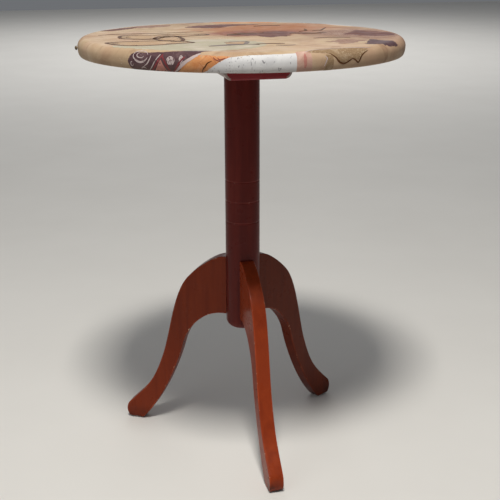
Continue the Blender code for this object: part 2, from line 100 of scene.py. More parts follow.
class Shader:
    """A material whose Principled shader is fed by a few textures."""

    def __init__(self, name, roughness, metallic=0.0, coat=0.0, coat_roughness=0.1):
        self.material = bpy.data.materials.new(name)
        self.material.use_nodes = True
        self.tree = self.material.node_tree
        self.surface = self.tree.nodes["Principled BSDF"]
        self.set("Roughness", roughness)
        self.set("Metallic", metallic)
        self.set("Coat Weight", coat)
        self.set("Coat Roughness", coat_roughness)
        self.place = self.add("ShaderNodeTexCoord").outputs["Object"]

    def set(self, key, value):
        """Sets a constant on the shader's own socket."""
        self.surface.inputs[key].default_value = value

    def add(self, kind, inputs=(), **settings):
        """A node with these settings, and these sockets or constants on its inputs."""
        node = self.tree.nodes.new(kind)
        for key, value in settings.items():
            setattr(node, key, value)
        for key, value in dict(inputs).items():
            self.feed(node.inputs[key], value)
        return node

    def feed(self, socket, value):
        """Links a socket to another, or sets it to a constant."""
        if isinstance(value, bpy.types.NodeSocket):
            self.tree.links.new(value, socket)
        else:
            socket.default_value = value

    def stretched(self, scale, turn=(0, 0, 0)):
        inputs = {"Vector": self.place, "Scale": scale, "Rotation": turn}
        return self.add("ShaderNodeMapping", inputs).outputs["Vector"]

    def noise(self, scale, detail=4.0, roughness=0.55, distortion=0.0, vector=None):
        inputs = {"Vector": vector or self.place, "Scale": scale, "Detail": detail,
                  "Roughness": roughness, "Distortion": distortion}
        return self.add("ShaderNodeTexNoise", inputs).outputs["Fac"]

    def cells(self, scale, feature="F1"):
        inputs = {"Vector": self.place, "Scale": scale}
        return self.add("ShaderNodeTexVoronoi", inputs, feature=feature).outputs["Distance"]

    def wave(self, scale, distortion, detail_scale, vector, direction="X"):
        inputs = {"Vector": vector, "Scale": scale, "Distortion": distortion,
                  "Detail": WAVE_DETAIL, "Detail Scale": detail_scale}
        return self.add("ShaderNodeTexWave", inputs, bands_direction=direction).outputs["Fac"]

    def spread(self, value, low, high, to_low=0.0, to_high=1.0):
        """A value's range mapped to another, held at both ends."""
        inputs = {"Value": value, "From Min": low, "From Max": high, "To Min": to_low, "To Max": to_high}
        return self.add("ShaderNodeMapRange", inputs, clamp=True).outputs["Result"]

    def maths(self, operation, first, second=0.0):
        return self.add("ShaderNodeMath", {0: first, 1: second}, operation=operation).outputs["Value"]

    def times(self, first, second):
        return self.maths("MULTIPLY", first, second)

    def mixed(self, share, first, second):
        """Two colours or colour sockets mixed by the share."""
        node = self.add("ShaderNodeMix", data_type="RGBA")
        self.feed(node.inputs["Factor"], share)
        for socket, value in ((node.inputs["A"], first), (node.inputs["B"], second)):
            sockets = [s for s in node.inputs if s.name == socket.name and s.type == "RGBA"]
            self.feed(sockets[0], value if isinstance(value, bpy.types.NodeSocket) else (*value, 1.0))
        return next(s for s in node.outputs if s.type == "RGBA")

    def axis(self, letter):
        return self.add("ShaderNodeSeparateXYZ", {0: self.place}).outputs[letter]

    def edge(self):
        """1 on a piece's rounded arrises, 0 a few millimetres inside its faces."""
        return self.add("ShaderNodeAttribute", attribute_name="edge").outputs["Fac"]

    def colour(self, value):
        self.feed(self.surface.inputs["Base Color"], value)

    def rough(self, value):
        self.feed(self.surface.inputs["Roughness"], value)

    def bump(self, height, strength, distance):
        node = self.add("ShaderNodeBump", {"Strength": strength, "Distance": distance, "Height": height})
        self.feed(self.surface.inputs["Normal"], node.outputs["Normal"])


def varnished_wood(name, light, dark, along, shine, worn=0.5, narrow_edge=False):
    """Dark varnish over grain that runs along an axis, chipped to pale wood on the arrises."""
    s = Shader(name, 0.3, coat=0.35 * shine, coat_roughness=0.12)
    s.set("Specular IOR Level", shine)
    stretch = [70.0, 70.0, 70.0]
    stretch["XYZ".index(along)] = 5.0
    grain = s.noise(1.0, 6.0, 0.6, 0.6, s.stretched(stretch))
    cloud = s.noise(9.0, 3.0)
    colour = s.mixed(s.spread(grain, 0.35, 0.68), dark, light)
    colour = s.mixed(s.spread(cloud, 0.45, 0.75, 0.0, 0.35), colour, dark)
    edge = s.edge()
    if narrow_edge:
        half = s.maths("ABSOLUTE", s.axis("X"))
        edge = s.times(edge, s.spread(half, LEG_WIDTH * 0.37, LEG_WIDTH * 0.46))
    uneven = s.spread(s.noise(26.0, 3.0), 0.42, 0.62, 0.1, 0.55)
    rubbed = s.times(s.spread(edge, 0.35, 1.0), uneven)
    colour = s.mixed(rubbed, colour, [1.6 * c + 0.01 for c in light])
    spots = s.spread(s.noise(210.0, 4.0), 0.66 - 0.05 * worn, 0.70)
    chips = s.times(s.spread(edge, 0.72, 0.95), spots)
    colour = s.mixed(chips, colour, (0.62, 0.44, 0.30))
    grime = s.spread(s.axis("Z"), 0.004, 0.030, 0.75, 0.0)
    grime = s.times(grime, s.spread(s.noise(60.0, 4.0), 0.35, 0.65))
    s.colour(s.mixed(grime, colour, (0.020, 0.012, 0.010)))
    s.rough(s.spread(s.noise(38.0, 5.0), 0.3, 0.75, 0.24, 0.42))
    ripple = s.maths("ADD", s.times(grain, 0.5), s.noise(120.0, 2.0))
    s.bump(ripple, 0.22, 0.0006)
    return s.material


def brushed_paint(name, body, deep, bare):
    """Satin paint laid with a brush along X, rubbed through to the wood on the arrises. Its rounded ends are
    painted pale grey: painted reflection together with wear.
    """
    s = Shader(name, 0.4, coat=0.4, coat_roughness=0.12)
    s.set("Specular IOR Level", 0.25)
    strokes = s.noise(1.0, 5.0, 0.6, 0.2, s.stretched((14.0, 14.0, 420.0)))
    colour = s.mixed(s.spread(strokes, 0.3, 0.7), deep, body)
    colour = s.mixed(s.spread(s.noise(30.0, 4.0), 0.5, 0.8, 0.0, 0.5), colour, deep)
    through = s.times(s.spread(s.edge(), 0.7, 1.0), s.spread(s.noise(130.0, 4.0), 0.64, 0.70))
    colour = s.mixed(through, colour, bare)
    # Painted reflection with wear: a pale grey band on the rounded ends stands for the glossy paint reflecting
    # pale surroundings, and for paint worn through.
    along = s.maths("SUBTRACT", s.maths("ABSOLUTE", s.axis("X")), BLOCK_HIGH.x - BLOCK_END_ROUND)
    down = s.maths("SUBTRACT", BLOCK_LOW.z + BLOCK_END_ROUND, s.axis("Z"))
    along = s.maths("MAXIMUM", along, 0.0)
    down = s.maths("MAXIMUM", down, 0.0)
    from_centre = s.maths("SQRT", s.maths("ADD", s.times(along, along), s.times(down, down)))
    end = s.spread(from_centre, BLOCK_END_ROUND - END_WEAR_AND_REFLECTION[0], BLOCK_END_ROUND - END_WEAR_AND_REFLECTION[1])
    end = s.times(end, s.spread(along, 0.001, 0.004))
    rubbed = s.times(end, s.spread(s.noise(60.0, 5.0), 0.25, 0.6, 0.6, 0.95))
    s.colour(s.mixed(rubbed, colour, (0.33, 0.275, 0.25)))
    s.rough(s.spread(s.noise(45.0, 4.0), 0.3, 0.7, 0.32, 0.52))
    s.bump(strokes, 0.3, 0.0005)
    return s.material


def plain_wood(name, light, dark, along, roughness=0.62, close=38.0, wander=7.0):
    """Bare or stained board with growth rings, pores and a little dirt."""
    s = Shader(name, roughness)
    stretch = [close, close, close]
    stretch["XYZ".index(along)] = 3.0
    rings = s.wave(1.0, wander, 1.2, s.stretched(stretch), direction="Y" if along == "X" else "X")
    stretch = [520.0, 520.0, 520.0]
    stretch["XYZ".index(along)] = 22.0
    pores = s.noise(1.0, 4.0, 0.6, 0.0, s.stretched(stretch))
    colour = s.mixed(s.spread(rings, 0.15, 0.9), light, dark)
    colour = s.mixed(s.spread(pores, 0.56, 0.7, 0.0, 0.55), colour, [0.45 * c for c in dark])
    colour = s.mixed(s.spread(s.noise(11.0, 5.0), 0.5, 0.78, 0.0, 0.45), colour, [0.6 * c for c in dark])
    s.colour(colour)
    s.rough(s.spread(pores, 0.3, 0.7, roughness - 0.08, roughness + 0.14))
    s.bump(s.maths("ADD", pores, s.times(rings, 0.4)), 0.35, 0.0005)
    return s.material


def old_metal(name, bright, dull, roughness):
    """Cast or drawn metal gone dull in patches, with bright scratches."""
    s = Shader(name, roughness, metallic=1.0)
    patina = s.noise(190.0, 6.0, 0.65)
    scratches = s.noise(1.0, 3.0, 0.5, 0.0, s.stretched((900.0, 60.0, 900.0), (0, 0, 0.5)))
    colour = s.mixed(s.spread(patina, 0.38, 0.66), bright, dull)
    s.colour(s.mixed(s.spread(scratches, 0.6, 0.75, 0.0, 0.4), colour, bright))
    s.rough(s.spread(patina, 0.3, 0.7, roughness - 0.12, roughness + 0.2))
    s.bump(s.maths("ADD", patina, scratches), 0.3, 0.0002)
    return s.material


def felt(name):
    s = Shader(name, 0.9)
    fibre = s.noise(900.0, 4.0, 0.7)
    s.colour(s.mixed(s.spread(fibre, 0.3, 0.7), (0.36, 0.35, 0.33), (0.62, 0.60, 0.56)))
    s.set("Sheen Weight", 0.3)
    s.bump(fibre, 0.7, 0.0006)
    return s.material


def paper(name, stops, scale, streaks=None, pattern=None):
    """Printed paper under satin varnish. Colours run through the stops, and a pattern may lie over them.
    Painted shade darkens it towards the underside.
    """
    s = Shader(name, 0.5, coat=0.02, coat_roughness=0.3)
    s.set("Specular IOR Level", 0.05)
    wash = s.noise(scale, 5.0, 0.6, 0.8, s.stretched(streaks) if streaks else None)
    colour = s.mixed(s.spread(wash, 0.34, 0.52), stops[0], stops[1])
    colour = s.mixed(s.spread(wash, 0.52, 0.68), colour, stops[2])
    if pattern:
        colour = pattern(s, colour)
    fibre = s.noise(700.0, 3.0, 0.6)
    colour = s.mixed(s.spread(fibre, 0.45, 0.8, 0.0, 0.28), colour, [0.72 * c for c in stops[1]])
    specks = s.spread(s.cells(95.0), 0.05, 0.11, 0.5, 0.0)
    specks = s.times(specks, s.spread(s.noise(23.0, 2.0), 0.55, 0.65))
    colour = s.mixed(specks, colour, (0.16, 0.09, 0.06))
    # Painted shade: darker towards the underside, where the rim turns under away from the light.
    low = s.spread(s.axis("Z"), UNDERSIDE, UNDERSIDE + 0.011, 0.50, 0.0)
    low = s.times(low, s.spread(s.noise(34.0, 4.0), 0.25, 0.7, 0.45, 1.0))
    colour = s.mixed(low, colour, (0.15, 0.105, 0.075))
    s.colour(colour)
    s.rough(s.spread(s.noise(52.0, 4.0), 0.3, 0.7, 0.40, 0.58))
    s.bump(s.maths("ADD", s.times(fibre, 0.4), s.noise(60.0, 3.0)), 0.14, 0.0006)
    return s.material


def oval(s, centre, half, turn):
    """1 inside an oval on the top, fading to 0 over a ragged border. Sizes in metres."""
    inputs = {"Vector": s.place, "Location": (*centre, TOP_Z),
              "Rotation": (0, 0, turn), "Scale": (*half, 1.0)}
    node = s.add("ShaderNodeMapping", inputs, vector_type="TEXTURE")
    length = s.add("ShaderNodeVectorMath", {0: node.outputs["Vector"]}, operation="LENGTH")
    ragged = s.times(s.noise(16.0, 6.0, 0.65, 1.0), STAIN_RAGGED)
    far = s.maths("ADD", length.outputs["Value"], ragged)
    return s.spread(far, STAIN_EDGE - STAIN_SOFT, STAIN_EDGE + STAIN_SOFT, 1.0, 0.0)


def aged(s, colour):
    """Orange, rosy and brown stains, faint engraved strokes, and pale scuffs along the lower rim."""
    colour = s.mixed(oval(s, (0.075, 0.095), (0.135, 0.105), 0.3), colour, (0.34, 0.130, 0.050))
    colour = s.mixed(oval(s, (0.045, 0.020), (0.095, 0.050), 0.0), colour, (0.22, 0.070, 0.042))
    colour = s.mixed(oval(s, (0.200, -0.040), (0.085, 0.100), 0.0), colour, (0.24, 0.135, 0.090))
    rosy = s.spread(s.noise(3.4, 3.0, 0.6, 1.2), 0.44, 0.62, 0.0, 0.62)
    colour = s.mixed(rosy, colour, (0.42, 0.245, 0.165))
    streaks = s.stretched((1.0, 1.7, 1.0), (0, 0, 0.3))
    stain = s.spread(s.noise(12.0, 6.0, 0.65, 1.5, streaks), 0.56, 0.70, 0.0, 0.62)
    colour = s.mixed(stain, colour, (0.20, 0.095, 0.050))
    strokes = s.wave(95.0, 22.0, 2.6, s.stretched((1.0, 1.0, 1.0), (0, 0, 1.1)))
    where = s.spread(s.noise(8.0, 4.0, 0.6, 0.5), 0.52, 0.60)
    faint = s.times(s.spread(strokes, 0.62, 0.9, 0.0, 0.42), where)
    colour = s.mixed(faint, colour, (0.17, 0.085, 0.040))
    marks = s.noise(1.0, 4.0, 0.7, 0.4, s.stretched((150.0, 150.0, 420.0), (0.6, 0.3, 0.4)))
    low = s.spread(s.axis("Z"), UNDERSIDE + 0.004, UNDERSIDE + 0.020, 1.0, 0.12)
    return s.mixed(s.times(s.spread(marks, 0.66, 0.70), low), colour, (0.80, 0.74, 0.64))


def clouded(s, colour):
    """A dark printed ground with soft paler clouds and dust."""
    cloud = s.spread(s.noise(55.0, 5.0, 0.65, 1.0), 0.50, 0.68, 0.0, 0.28)
    colour = s.mixed(cloud, colour, (0.23, 0.15, 0.15))
    dust = s.spread(s.cells(420.0), 0.10, 0.22, 0.5, 0.0)
    return s.mixed(s.times(dust, s.spread(s.noise(70.0), 0.5, 0.6)), colour, (0.50, 0.42, 0.40))


def engraved(s, colour):
    """Fine wavering engraved lines and stippling."""
    lines = s.wave(150.0, 16.0, 2.2, s.stretched((1.0, 1.0, 1.0), (0, 0, 0.7)))
    colour = s.mixed(s.spread(lines, 0.5, 0.8, 0.0, 0.55), colour, (0.17, 0.10, 0.055))
    dots = s.spread(s.cells(360.0), 0.16, 0.30, 0.8, 0.0)
    return s.mixed(s.times(dots, s.spread(s.noise(40.0, 3.0), 0.42, 0.55)), colour, (0.62, 0.52, 0.38))


def speckled(s, colour):
    """A pale ground broken by dark speckles."""
    dots = s.spread(s.noise(330.0, 3.0, 0.6, 1.0), 0.50, 0.56)
    return s.mixed(dots, colour, (0.13, 0.07, 0.075))


def flecked(s, colour):
    """Short faint strokes scattered at random."""
    place = s.stretched((230.0, 230.0, 95.0), (0.2, 0.5, 0.9))
    strokes = s.spread(s.noise(1.0, 2.0, 0.4, 1.6, place), 0.665, 0.70)
    return s.mixed(s.times(strokes, 0.75), colour, (0.16, 0.15, 0.16))


def veined(s, colour):
    """Thin red-brown veins."""
    veins = s.spread(s.cells(42.0, feature="DISTANCE_TO_EDGE"), 0.0, 0.035, 0.65, 0.0)
    veins = s.times(veins, s.spread(s.noise(20.0, 3.0), 0.46, 0.60))
    return s.mixed(veins, colour, (0.26, 0.06, 0.03))


def floor_material():
    s = Shader("pale_floor", 0.75)
    s.colour(s.mixed(s.noise(3.0, 3.0), (0.66, 0.64, 0.60), (0.72, 0.70, 0.66)))
    return s.material


# ---------------------------------------------------------------- mesh tools

def frame_along(origin, direction):
    turn = Z.rotation_difference(Vector(direction)).to_matrix().to_4x4()
    return Matrix.Translation(origin) @ turn


def turned(profile, sides, origin=(0, 0, 0), direction=(0, 0, 1), ring=False):
    """A solid of revolution from (radius, height) points, from bottom to top."""
    bm = bmesh.new()
    rows = []
    for radius, height in profile:
        angles = (math.tau * k / sides for k in range(sides))
        rows.append([bm.verts.new((radius * math.cos(a), radius * math.sin(a), height)) for a in angles])
    pairs = list(zip(rows, rows[1:]))
    if ring:
        pairs.append((rows[-1], rows[0]))
    else:
        bm.faces.new(rows[0])
        bm.faces.new(rows[-1])
    for low, high in pairs:
        for k in range(sides):
            after = (k + 1) % sides
            bm.faces.new((low[k], low[after], high[after], high[k]))
    bm.transform(frame_along(origin, direction))
    bmesh.ops.recalc_face_normals(bm, faces=bm.faces)
    return bm


def extruded(outline, travel):
    bm = bmesh.new()
    face = bm.faces.new([bm.verts.new(point) for point in outline])
    pushed = bmesh.ops.extrude_face_region(bm, geom=[face])
    moved = [item for item in pushed["geom"] if isinstance(item, bmesh.types.BMVert)]
    bmesh.ops.translate(bm, vec=travel, verts=moved)
    bmesh.ops.recalc_face_normals(bm, faces=bm.faces)
    return bm


def box(low, high):
    corners = [(low[0], low[1]), (high[0], low[1]), (high[0], high[1]), (low[0], high[1])]
    return extruded([(x, y, low[2]) for x, y in corners], (0, 0, high[2] - low[2]))


def rod(radius, origin, direction, length, sides=32):
    return turned(((radius, 0), (radius, length)), sides, origin, direction)


def arc(centre, radius, start, end, steps):
    """(radius, height) points on a quarter or so of a circle, angles in degrees."""
    points = []
    for k in range(steps + 1):
        a = math.radians(start + (end - start) * k / steps)
        points.append((centre[0] + radius * math.cos(a), centre[1] + radius * math.sin(a)))
    return points


def dome(radius, height, rise, step, last):
    """(radius, height) points up a dome at every step of so many degrees."""
    angles = (math.radians(step * k) for k in range(1, last + 1))
    return [(radius * math.cos(a), height + rise * math.sin(a)) for a in angles]


def new_object(name, bm, material=None):
    mesh = bpy.data.meshes.new(name)
    bm.to_mesh(mesh)
    bm.free()
    obj = bpy.data.objects.new(name, mesh)
    bpy.context.scene.collection.objects.link(obj)
    if material:
        mesh.materials.append(material)
    return obj


def keep_modifiers(obj):
    """Turns the modified shape into the object's own mesh."""
    graph = bpy.context.evaluated_depsgraph_get()
    mesh = bpy.data.meshes.new_from_object(obj.evaluated_get(graph))
    obj.modifiers.clear()
    obj.data = mesh


def cut(obj, *solids):
    for solid in solids:
        tool = new_object("cutting_tool", solid)
        step = obj.modifiers.new("cut", "BOOLEAN")
        step.operation = "DIFFERENCE"
        step.object = tool
        step.solver = "EXACT"
        keep_modifiers(obj)
        bpy.data.objects.remove(tool)


def bevelled(obj, width, segments=3, degrees=35):
    step = obj.modifiers.new("arris", "BEVEL")
    step.width = width
    step.segments = segments
    step.limit_method = "ANGLE"
    step.angle_limit = math.radians(degrees)
    step.use_clamp_overlap = True
    keep_modifiers(obj)


def inset_outline(outline, distance):
    """A closed (y, z) outline moved inwards, with sharp corners kept sharp."""
    count = len(outline)
    area = sum(outline[k - 1][0] * outline[k][1] - outline[k][0] * outline[k - 1][1] for k in range(count))
    turn = 1 if area > 0 else -1
    moved = []
    for k in range(count):
        here = Vector(outline[k])
        before = (here - Vector(outline[k - 1])).normalized()
        after = (Vector(outline[(k + 1) % count]) - here).normalized()
        first = Vector((-before.y, before.x)) * turn
        second = Vector((-after.y, after.x)) * turn
        moved.append(here + (first + second) * distance / max(0.35, 1 + first.dot(second)))
    return moved


def board(name, outline, width, arris, border):
    """A flat board across X with rounded arrises, and an 'edge' value that fades over the border."""
    half = width / 2
    quarter = [(arris * (1 - math.cos(a)), arris * (1 - math.sin(a)), 1.0)
               for a in (math.pi / 8 * k for k in range(5))]
    rings = [(0.0, arris + border, 0.0), *quarter, (arris + border, 0.0, 0.0)]
    rings = [(x - half, inset, edge) for x, inset, edge in rings]
    rings += [(-x, inset, edge) for x, inset, edge in reversed(rings)]
    bm = bmesh.new()
    layer = bm.verts.layers.float.new("edge")
    rows = []
    for x, inset, edge in rings:
        row = [bm.verts.new((x, y, z)) for y, z in inset_outline(outline, inset)]
        for vert in row:
            vert[layer] = edge
        rows.append(row)
    bm.faces.new(rows[0])
    bm.faces.new(rows[-1])
    for low, high in zip(rows, rows[1:]):
        for k in range(len(outline)):
            after = (k + 1) % len(outline)
            bm.faces.new((low[k], low[after], high[after], high[k]))
    bmesh.ops.recalc_face_normals(bm, faces=bm.faces)
    return new_object(name, bm)


def mark_edges(obj, reach, least_area):
    """Gives large faces an inner border, so that the 'edge' value fades over this reach."""
    bm = bmesh.new()
    bm.from_mesh(obj.data)
    large = [face for face in bm.faces if face.calc_area() > least_area]
    bmesh.ops.inset_individual(bm, faces=large, thickness=reach, use_even_offset=True)
    inner = {vert for face in large for vert in face.verts}
    layer = bm.verts.layers.float.new("edge")
    for vert in bm.verts:
        vert[layer] = 0.0 if vert in inner else 1.0
    bm.to_mesh(obj.data)
    bm.free()


def shade(obj, degrees=35):
    obj.data.shade_smooth()
    obj.data.set_sharp_from_angle(angle=math.radians(degrees))


def settle(obj, body, nodes=(), material=None, degrees=35):
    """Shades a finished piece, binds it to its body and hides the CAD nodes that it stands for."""
    if material:
        obj.data.materials.clear()
        obj.data.materials.append(material)
    shade(obj, degrees)
    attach(obj, body)
    if nodes:
        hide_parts(*nodes)
    return obj


def bezier_points(knots, steps):
    points = []
    for k in range(0, len(knots) - 1, 3):
        ends = [Vector(knots[k + j]) for j in range(4)]
        stretch = interpolate_bezier(ends[0], ends[1], ends[2], ends[3], steps + 1)
        points += stretch if not points else stretch[1:]
    return points


# ---------------------------------------------------------------- column and legs

RING_HEIGHTS = (0.420, 0.458, 0.495)
RING_HALF_WIDTH = 0.0012
RING_DEPTH = 0.0006
COLUMN_END_ROUND = 0.014
TENON_RADIUS = 0.016
COLUMN_SIDES = 128

# The front leg's side view as (distance from the axis, height): ends and handles of joined curves.
# All but the toe's points were computed by a curve-fitting program from measured positions.
LEG_UPPER_EDGE = (
    (0.031, 0.351), (0.053, 0.352), (0.092, 0.319),
    (0.106, 0.302), (0.134, 0.267), (0.141, 0.189),
    (0.157, 0.143), (0.177, 0.085), (0.189, 0.073),
    (0.229, 0.034), (0.238, 0.026), (0.238, 0.010), (0.230, 0.0023),
)
LEG_LOWER_EDGE = (
    (0.202, 0.0023), (0.163, 0.043), (0.129, 0.120),
    (0.116, 0.170), (0.106, 0.206), (0.073, 0.243), (0.031, 0.240),
)
LEG_CURVE_STEPS = 22
LEG_ROOT = 0.020
LEG_ARRIS = 0.0014
LEG_LIGHT = (0.270, 0.040, 0.010)
LEG_DARK = (0.205, 0.028, 0.008)
LEG_TURNS = {"front": 0, "right": 120, "left": -120}


def make_column():
    r = COLUMN_RADIUS
    profile = arc((r - COLUMN_END_ROUND, COLUMN_LOW.z + COLUMN_END_ROUND), COLUMN_END_ROUND, -90, 0, 14)
    profile.append((r, profile[-1][1] + 0.002))
    lip = RING_HALF_WIDTH * 0.35
    groove = ((-2 * RING_HALF_WIDTH, 0), (-RING_HALF_WIDTH - lip, 0), (-RING_HALF_WIDTH, 0.0001),
              (-0.3 * RING_HALF_WIDTH, 0.8 * RING_DEPTH), (0, RING_DEPTH))
    for height in RING_HEIGHTS:
        profile += [(r - depth, height + away) for away, depth in groove]
        profile += [(r - depth, height - away) for away, depth in reversed(groove[:-1])]
    shoulder = BLOCK_LOW.z - GAP
    arris = 0.0008
    profile += [(r, shoulder - 0.003), (r, shoulder - arris), (r - arris, shoulder)]
    profile += [(TENON_RADIUS, shoulder), (TENON_RADIUS, COLUMN_HIGH.z)]
    column = new_object("turned_column", turned(profile, COLUMN_SIDES))
    # Painted highlight along the groove lips, with some wear: a high 'edge' value there paints the varnish
    # lighter and chipped.
    rubbed = column.data.attributes.new("edge", "FLOAT", "POINT")
    for vertex, value in zip(column.data.vertices, rubbed.data):
        nearest = min(abs(vertex.co.z - height) for height in RING_HEIGHTS)
        value.value = 0.8 if nearest < 1.6 * RING_HALF_WIDTH else 0.0
    wedge_low, wedge_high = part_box("tenon_wedge")
    slot_low = (-2 * TENON_RADIUS, wedge_low.y - GAP, wedge_low.z - GAP)
    cut(column, box(slot_low, (2 * TENON_RADIUS, wedge_high.y + GAP, wedge_high.z + 0.01)))
    finish = varnished_wood("column_varnish", (0.125, 0.016, 0.011), (0.085, 0.010, 0.008), "Z", 0.10)
    settle(column, "base", ["column"], finish, 50)


def make_legs():
    upper = [(-p.x, p.y) for p in bezier_points(LEG_UPPER_EDGE, LEG_CURVE_STEPS)]
    lower = [(-p.x, p.y) for p in bezier_points(LEG_LOWER_EDGE, LEG_CURVE_STEPS)]
    top = upper[0][1]
    bottom = lower[-1][1]
    outline = upper + lower + [(-LEG_ROOT, bottom), (-LEG_ROOT, top)]
    leg = board("leg_board_front", outline, LEG_WIDTH, LEG_ARRIS, 0.003)
    cut(leg, rod(COLUMN_RADIUS + GAP, (0, 0, bottom - PAST), Z, top - bottom + 2 * PAST, COLUMN_SIDES))
    finish = varnished_wood("leg_varnish", LEG_LIGHT, LEG_DARK, "Z", 0.11, 0.6, True)
    leg.data.materials.append(finish)
    shade(leg, 40)
    # Painted shade: the left and right legs get darker copies of the one varnish, for the shade they stand in.
    painted_shade_varnish = {}
    for side, share in (("left", 0.78), ("right", 0.50)):
        light = [share * c for c in LEG_LIGHT]
        dark = [share * c for c in LEG_DARK]
        painted_shade_varnish[side] = varnished_wood("leg_varnish_painted_shade_" + side, light, dark, "Z", 0.11, 0.2, True)
    for side, degrees in LEG_TURNS.items():
        copy = leg
        if degrees:
            copy = bpy.data.objects.new("leg_board_" + side, leg.data)
            copy.rotation_euler.z = math.radians(degrees)
            bpy.context.scene.collection.objects.link(copy)
            copy.material_slots[0].link = "OBJECT"
            copy.material_slots[0].material = painted_shade_varnish[side]
        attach(copy, "base")
        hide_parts("leg_" + side)


def make_pads():
    material = felt("pale_felt")
    for side in LEG_TURNS:
        low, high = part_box("foot_pad_" + side)
        radius = (high.x - low.x) / 2
        centre = ((low.x + high.x) / 2, (low.y + high.y) / 2, 0)
        edge = 0.0005
        profile = [(radius - edge, low.z), (radius, low.z + edge)]
        profile += [(radius, high.z - edge), (radius - edge, high.z)]
        pad = new_object("felt_pad_" + side, turned(profile, 64, centre))
        settle(pad, "base", ["foot_pad_" + side], material)


# ---------------------------------------------------------------- block, battens, fittings

BLOCK_END_STEPS = 12
PIN_RADIUS = 0.005
PIN_DEPTH = 0.025
RUNNING_GAP = 0.00015
BATTEN_END_DEPTH = 0.008
BATTEN_FULL = (0.020, 0.100)
SCREW_WIDE = 0.0043
SCREW_NARROW = 0.0024
WELD_REACH = 0.00001
SMALL_ARRIS = 0.00025


def make_block():
    drop = BLOCK_HIGH.z - PIVOT.z
    half = BLOCK_HIGH.x
    corner = [(0, PIVOT.y + drop * math.sin(a), PIVOT.z + drop * math.cos(a))
              for a in (math.pi / 2 * k / 12 for k in range(13))]
    outline = [(0, BLOCK_HIGH.y, BLOCK_LOW.z), (0, BLOCK_LOW.y, BLOCK_LOW.z), (0, BLOCK_LOW.y, BLOCK_HIGH.z)]
    outline = [Vector(point) - X * half for point in outline + corner]
    block = new_object("painted_block", extruded(outline, X * 2 * half))
    start = BLOCK_LOW.y - PAST
    for side in (-1, 1):
        centre = Vector((side * (half - BLOCK_END_ROUND), start, BLOCK_LOW.z + BLOCK_END_ROUND))
        curve = [centre + BLOCK_END_ROUND * (X * side * math.sin(a) - Z * math.cos(a))
                 for a in (math.pi / 2 * k / BLOCK_END_STEPS for k in range(BLOCK_END_STEPS + 1))]
        first = curve[0] + (curve[0] - curve[1]).normalized() * PAST
        last = curve[-1] + (curve[-1] - curve[-2]).normalized() * PAST
        outside = X * side * (half + PAST) + Y * start
        below = BLOCK_LOW.z - PAST
        corners = [outside + Z * last.z, outside + Z * below, Vector((first.x, start, below))]
        cut(block, extruded([first, *curve[1:-1], last, *corners], Y * (BLOCK_HIGH.y + PAST - start)))
    cut(block, rod(TENON_RADIUS + GAP, (0, 0, BLOCK_LOW.z - PAST), Z, 0.06, 64))
    for side in (-1, 1):
        hole_start = PIVOT + X * side * (half - PIN_DEPTH - GAP)
        cut(block, rod(PIN_RADIUS + GAP, hole_start, X * side, PIN_DEPTH + PAST, 48))
    bevelled(block, 0.0011, 3, 28)
    mark_edges(block, 0.003, 0.0006)
    finish = brushed_paint("block_paint", (0.270, 0.012, 0.018), (0.190, 0.009, 0.014), (0.30, 0.16, 0.11))
    settle(block, "base", ["pivot_block"], finish, 32)


def make_battens():
    finish = plain_wood("batten_stain", (0.135, 0.062, 0.034), (0.070, 0.030, 0.018), "Y")
    for name, side in (("left", -1), ("right", 1)):
        low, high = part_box("batten_" + name)
        end_z = high.z - BATTEN_END_DEPTH
        outline = [(low.y, end_z), (BATTEN_FULL[0], low.z), (BATTEN_FULL[1], low.z), (high.y, end_z),
                   (high.y, high.z), (low.y, high.z)]
        batten = new_object("stained_batten_" + name,
                            extruded([(low.x, y, z) for y, z in outline], X * (high.x - low.x)))
        start = (low.x - PAST, PIVOT.y, PIVOT.z)
        cut(batten, rod(PIN_RADIUS + RUNNING_GAP, start, X, high.x - low.x + 2 * PAST, 48))
        for station in ("front", "middle", "rear"):
            screw_low, screw_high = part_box(f"batten_screw_{name}_{station}")
            centre = (screw_low + screw_high) / 2
            seat = screw_low.z + 0.0028 + GAP
            profile = ((SCREW_WIDE, low.z - PAST), (SCREW_WIDE, seat), (SCREW_NARROW, seat),
                       (SCREW_NARROW, high.z + PAST))
            cut(batten, turned(profile, 32, (centre.x, centre.y, 0)))
        bevelled(batten, 0.0008, 2, 15)
        mark_edges(batten, 0.002, 0.0006)
        settle(batten, "top", ["batten_" + name], finish, 30)


def make_screw(node, body, material, axis, head_height, shank_radius):
    """A slotted dome-headed screw in the place of the CAD node, pointing along the axis."""
    low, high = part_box(node)
    k = "xyz".index(axis)
    start = (low + high) / 2
    start[k] = low[k]
    length = high[k] - low[k]
    across = "xyz".replace(axis, "")[0]
    head_radius = (getattr(high, across) - getattr(low, across)) / 2
    direction = (X, Y, Z)[k]
    dome = [(head_radius * math.cos(a), head_height * (1 - math.sin(a)))
            for a in (math.radians(80 - 10 * j) for j in range(9))]
    profile = dome + [(shank_radius, head_height), (shank_radius, length - 2 * shank_radius),
                      (0.3 * shank_radius, length)]
    screw = new_object("slotted_" + node, turned(profile, 32, start, direction))
    depth = head_height * 0.5
    half = head_radius * 0.14
    low_corner = start.copy()
    high_corner = start.copy()
    for j in range(3):
        reach = head_radius * 2 if j == (k + 1) % 3 else half
        low_corner[j] -= reach if j != k else 0.01
        high_corner[j] += reach if j != k else depth
    cut(screw, box(low_corner, high_corner))
    settle(screw, body, [node], material)


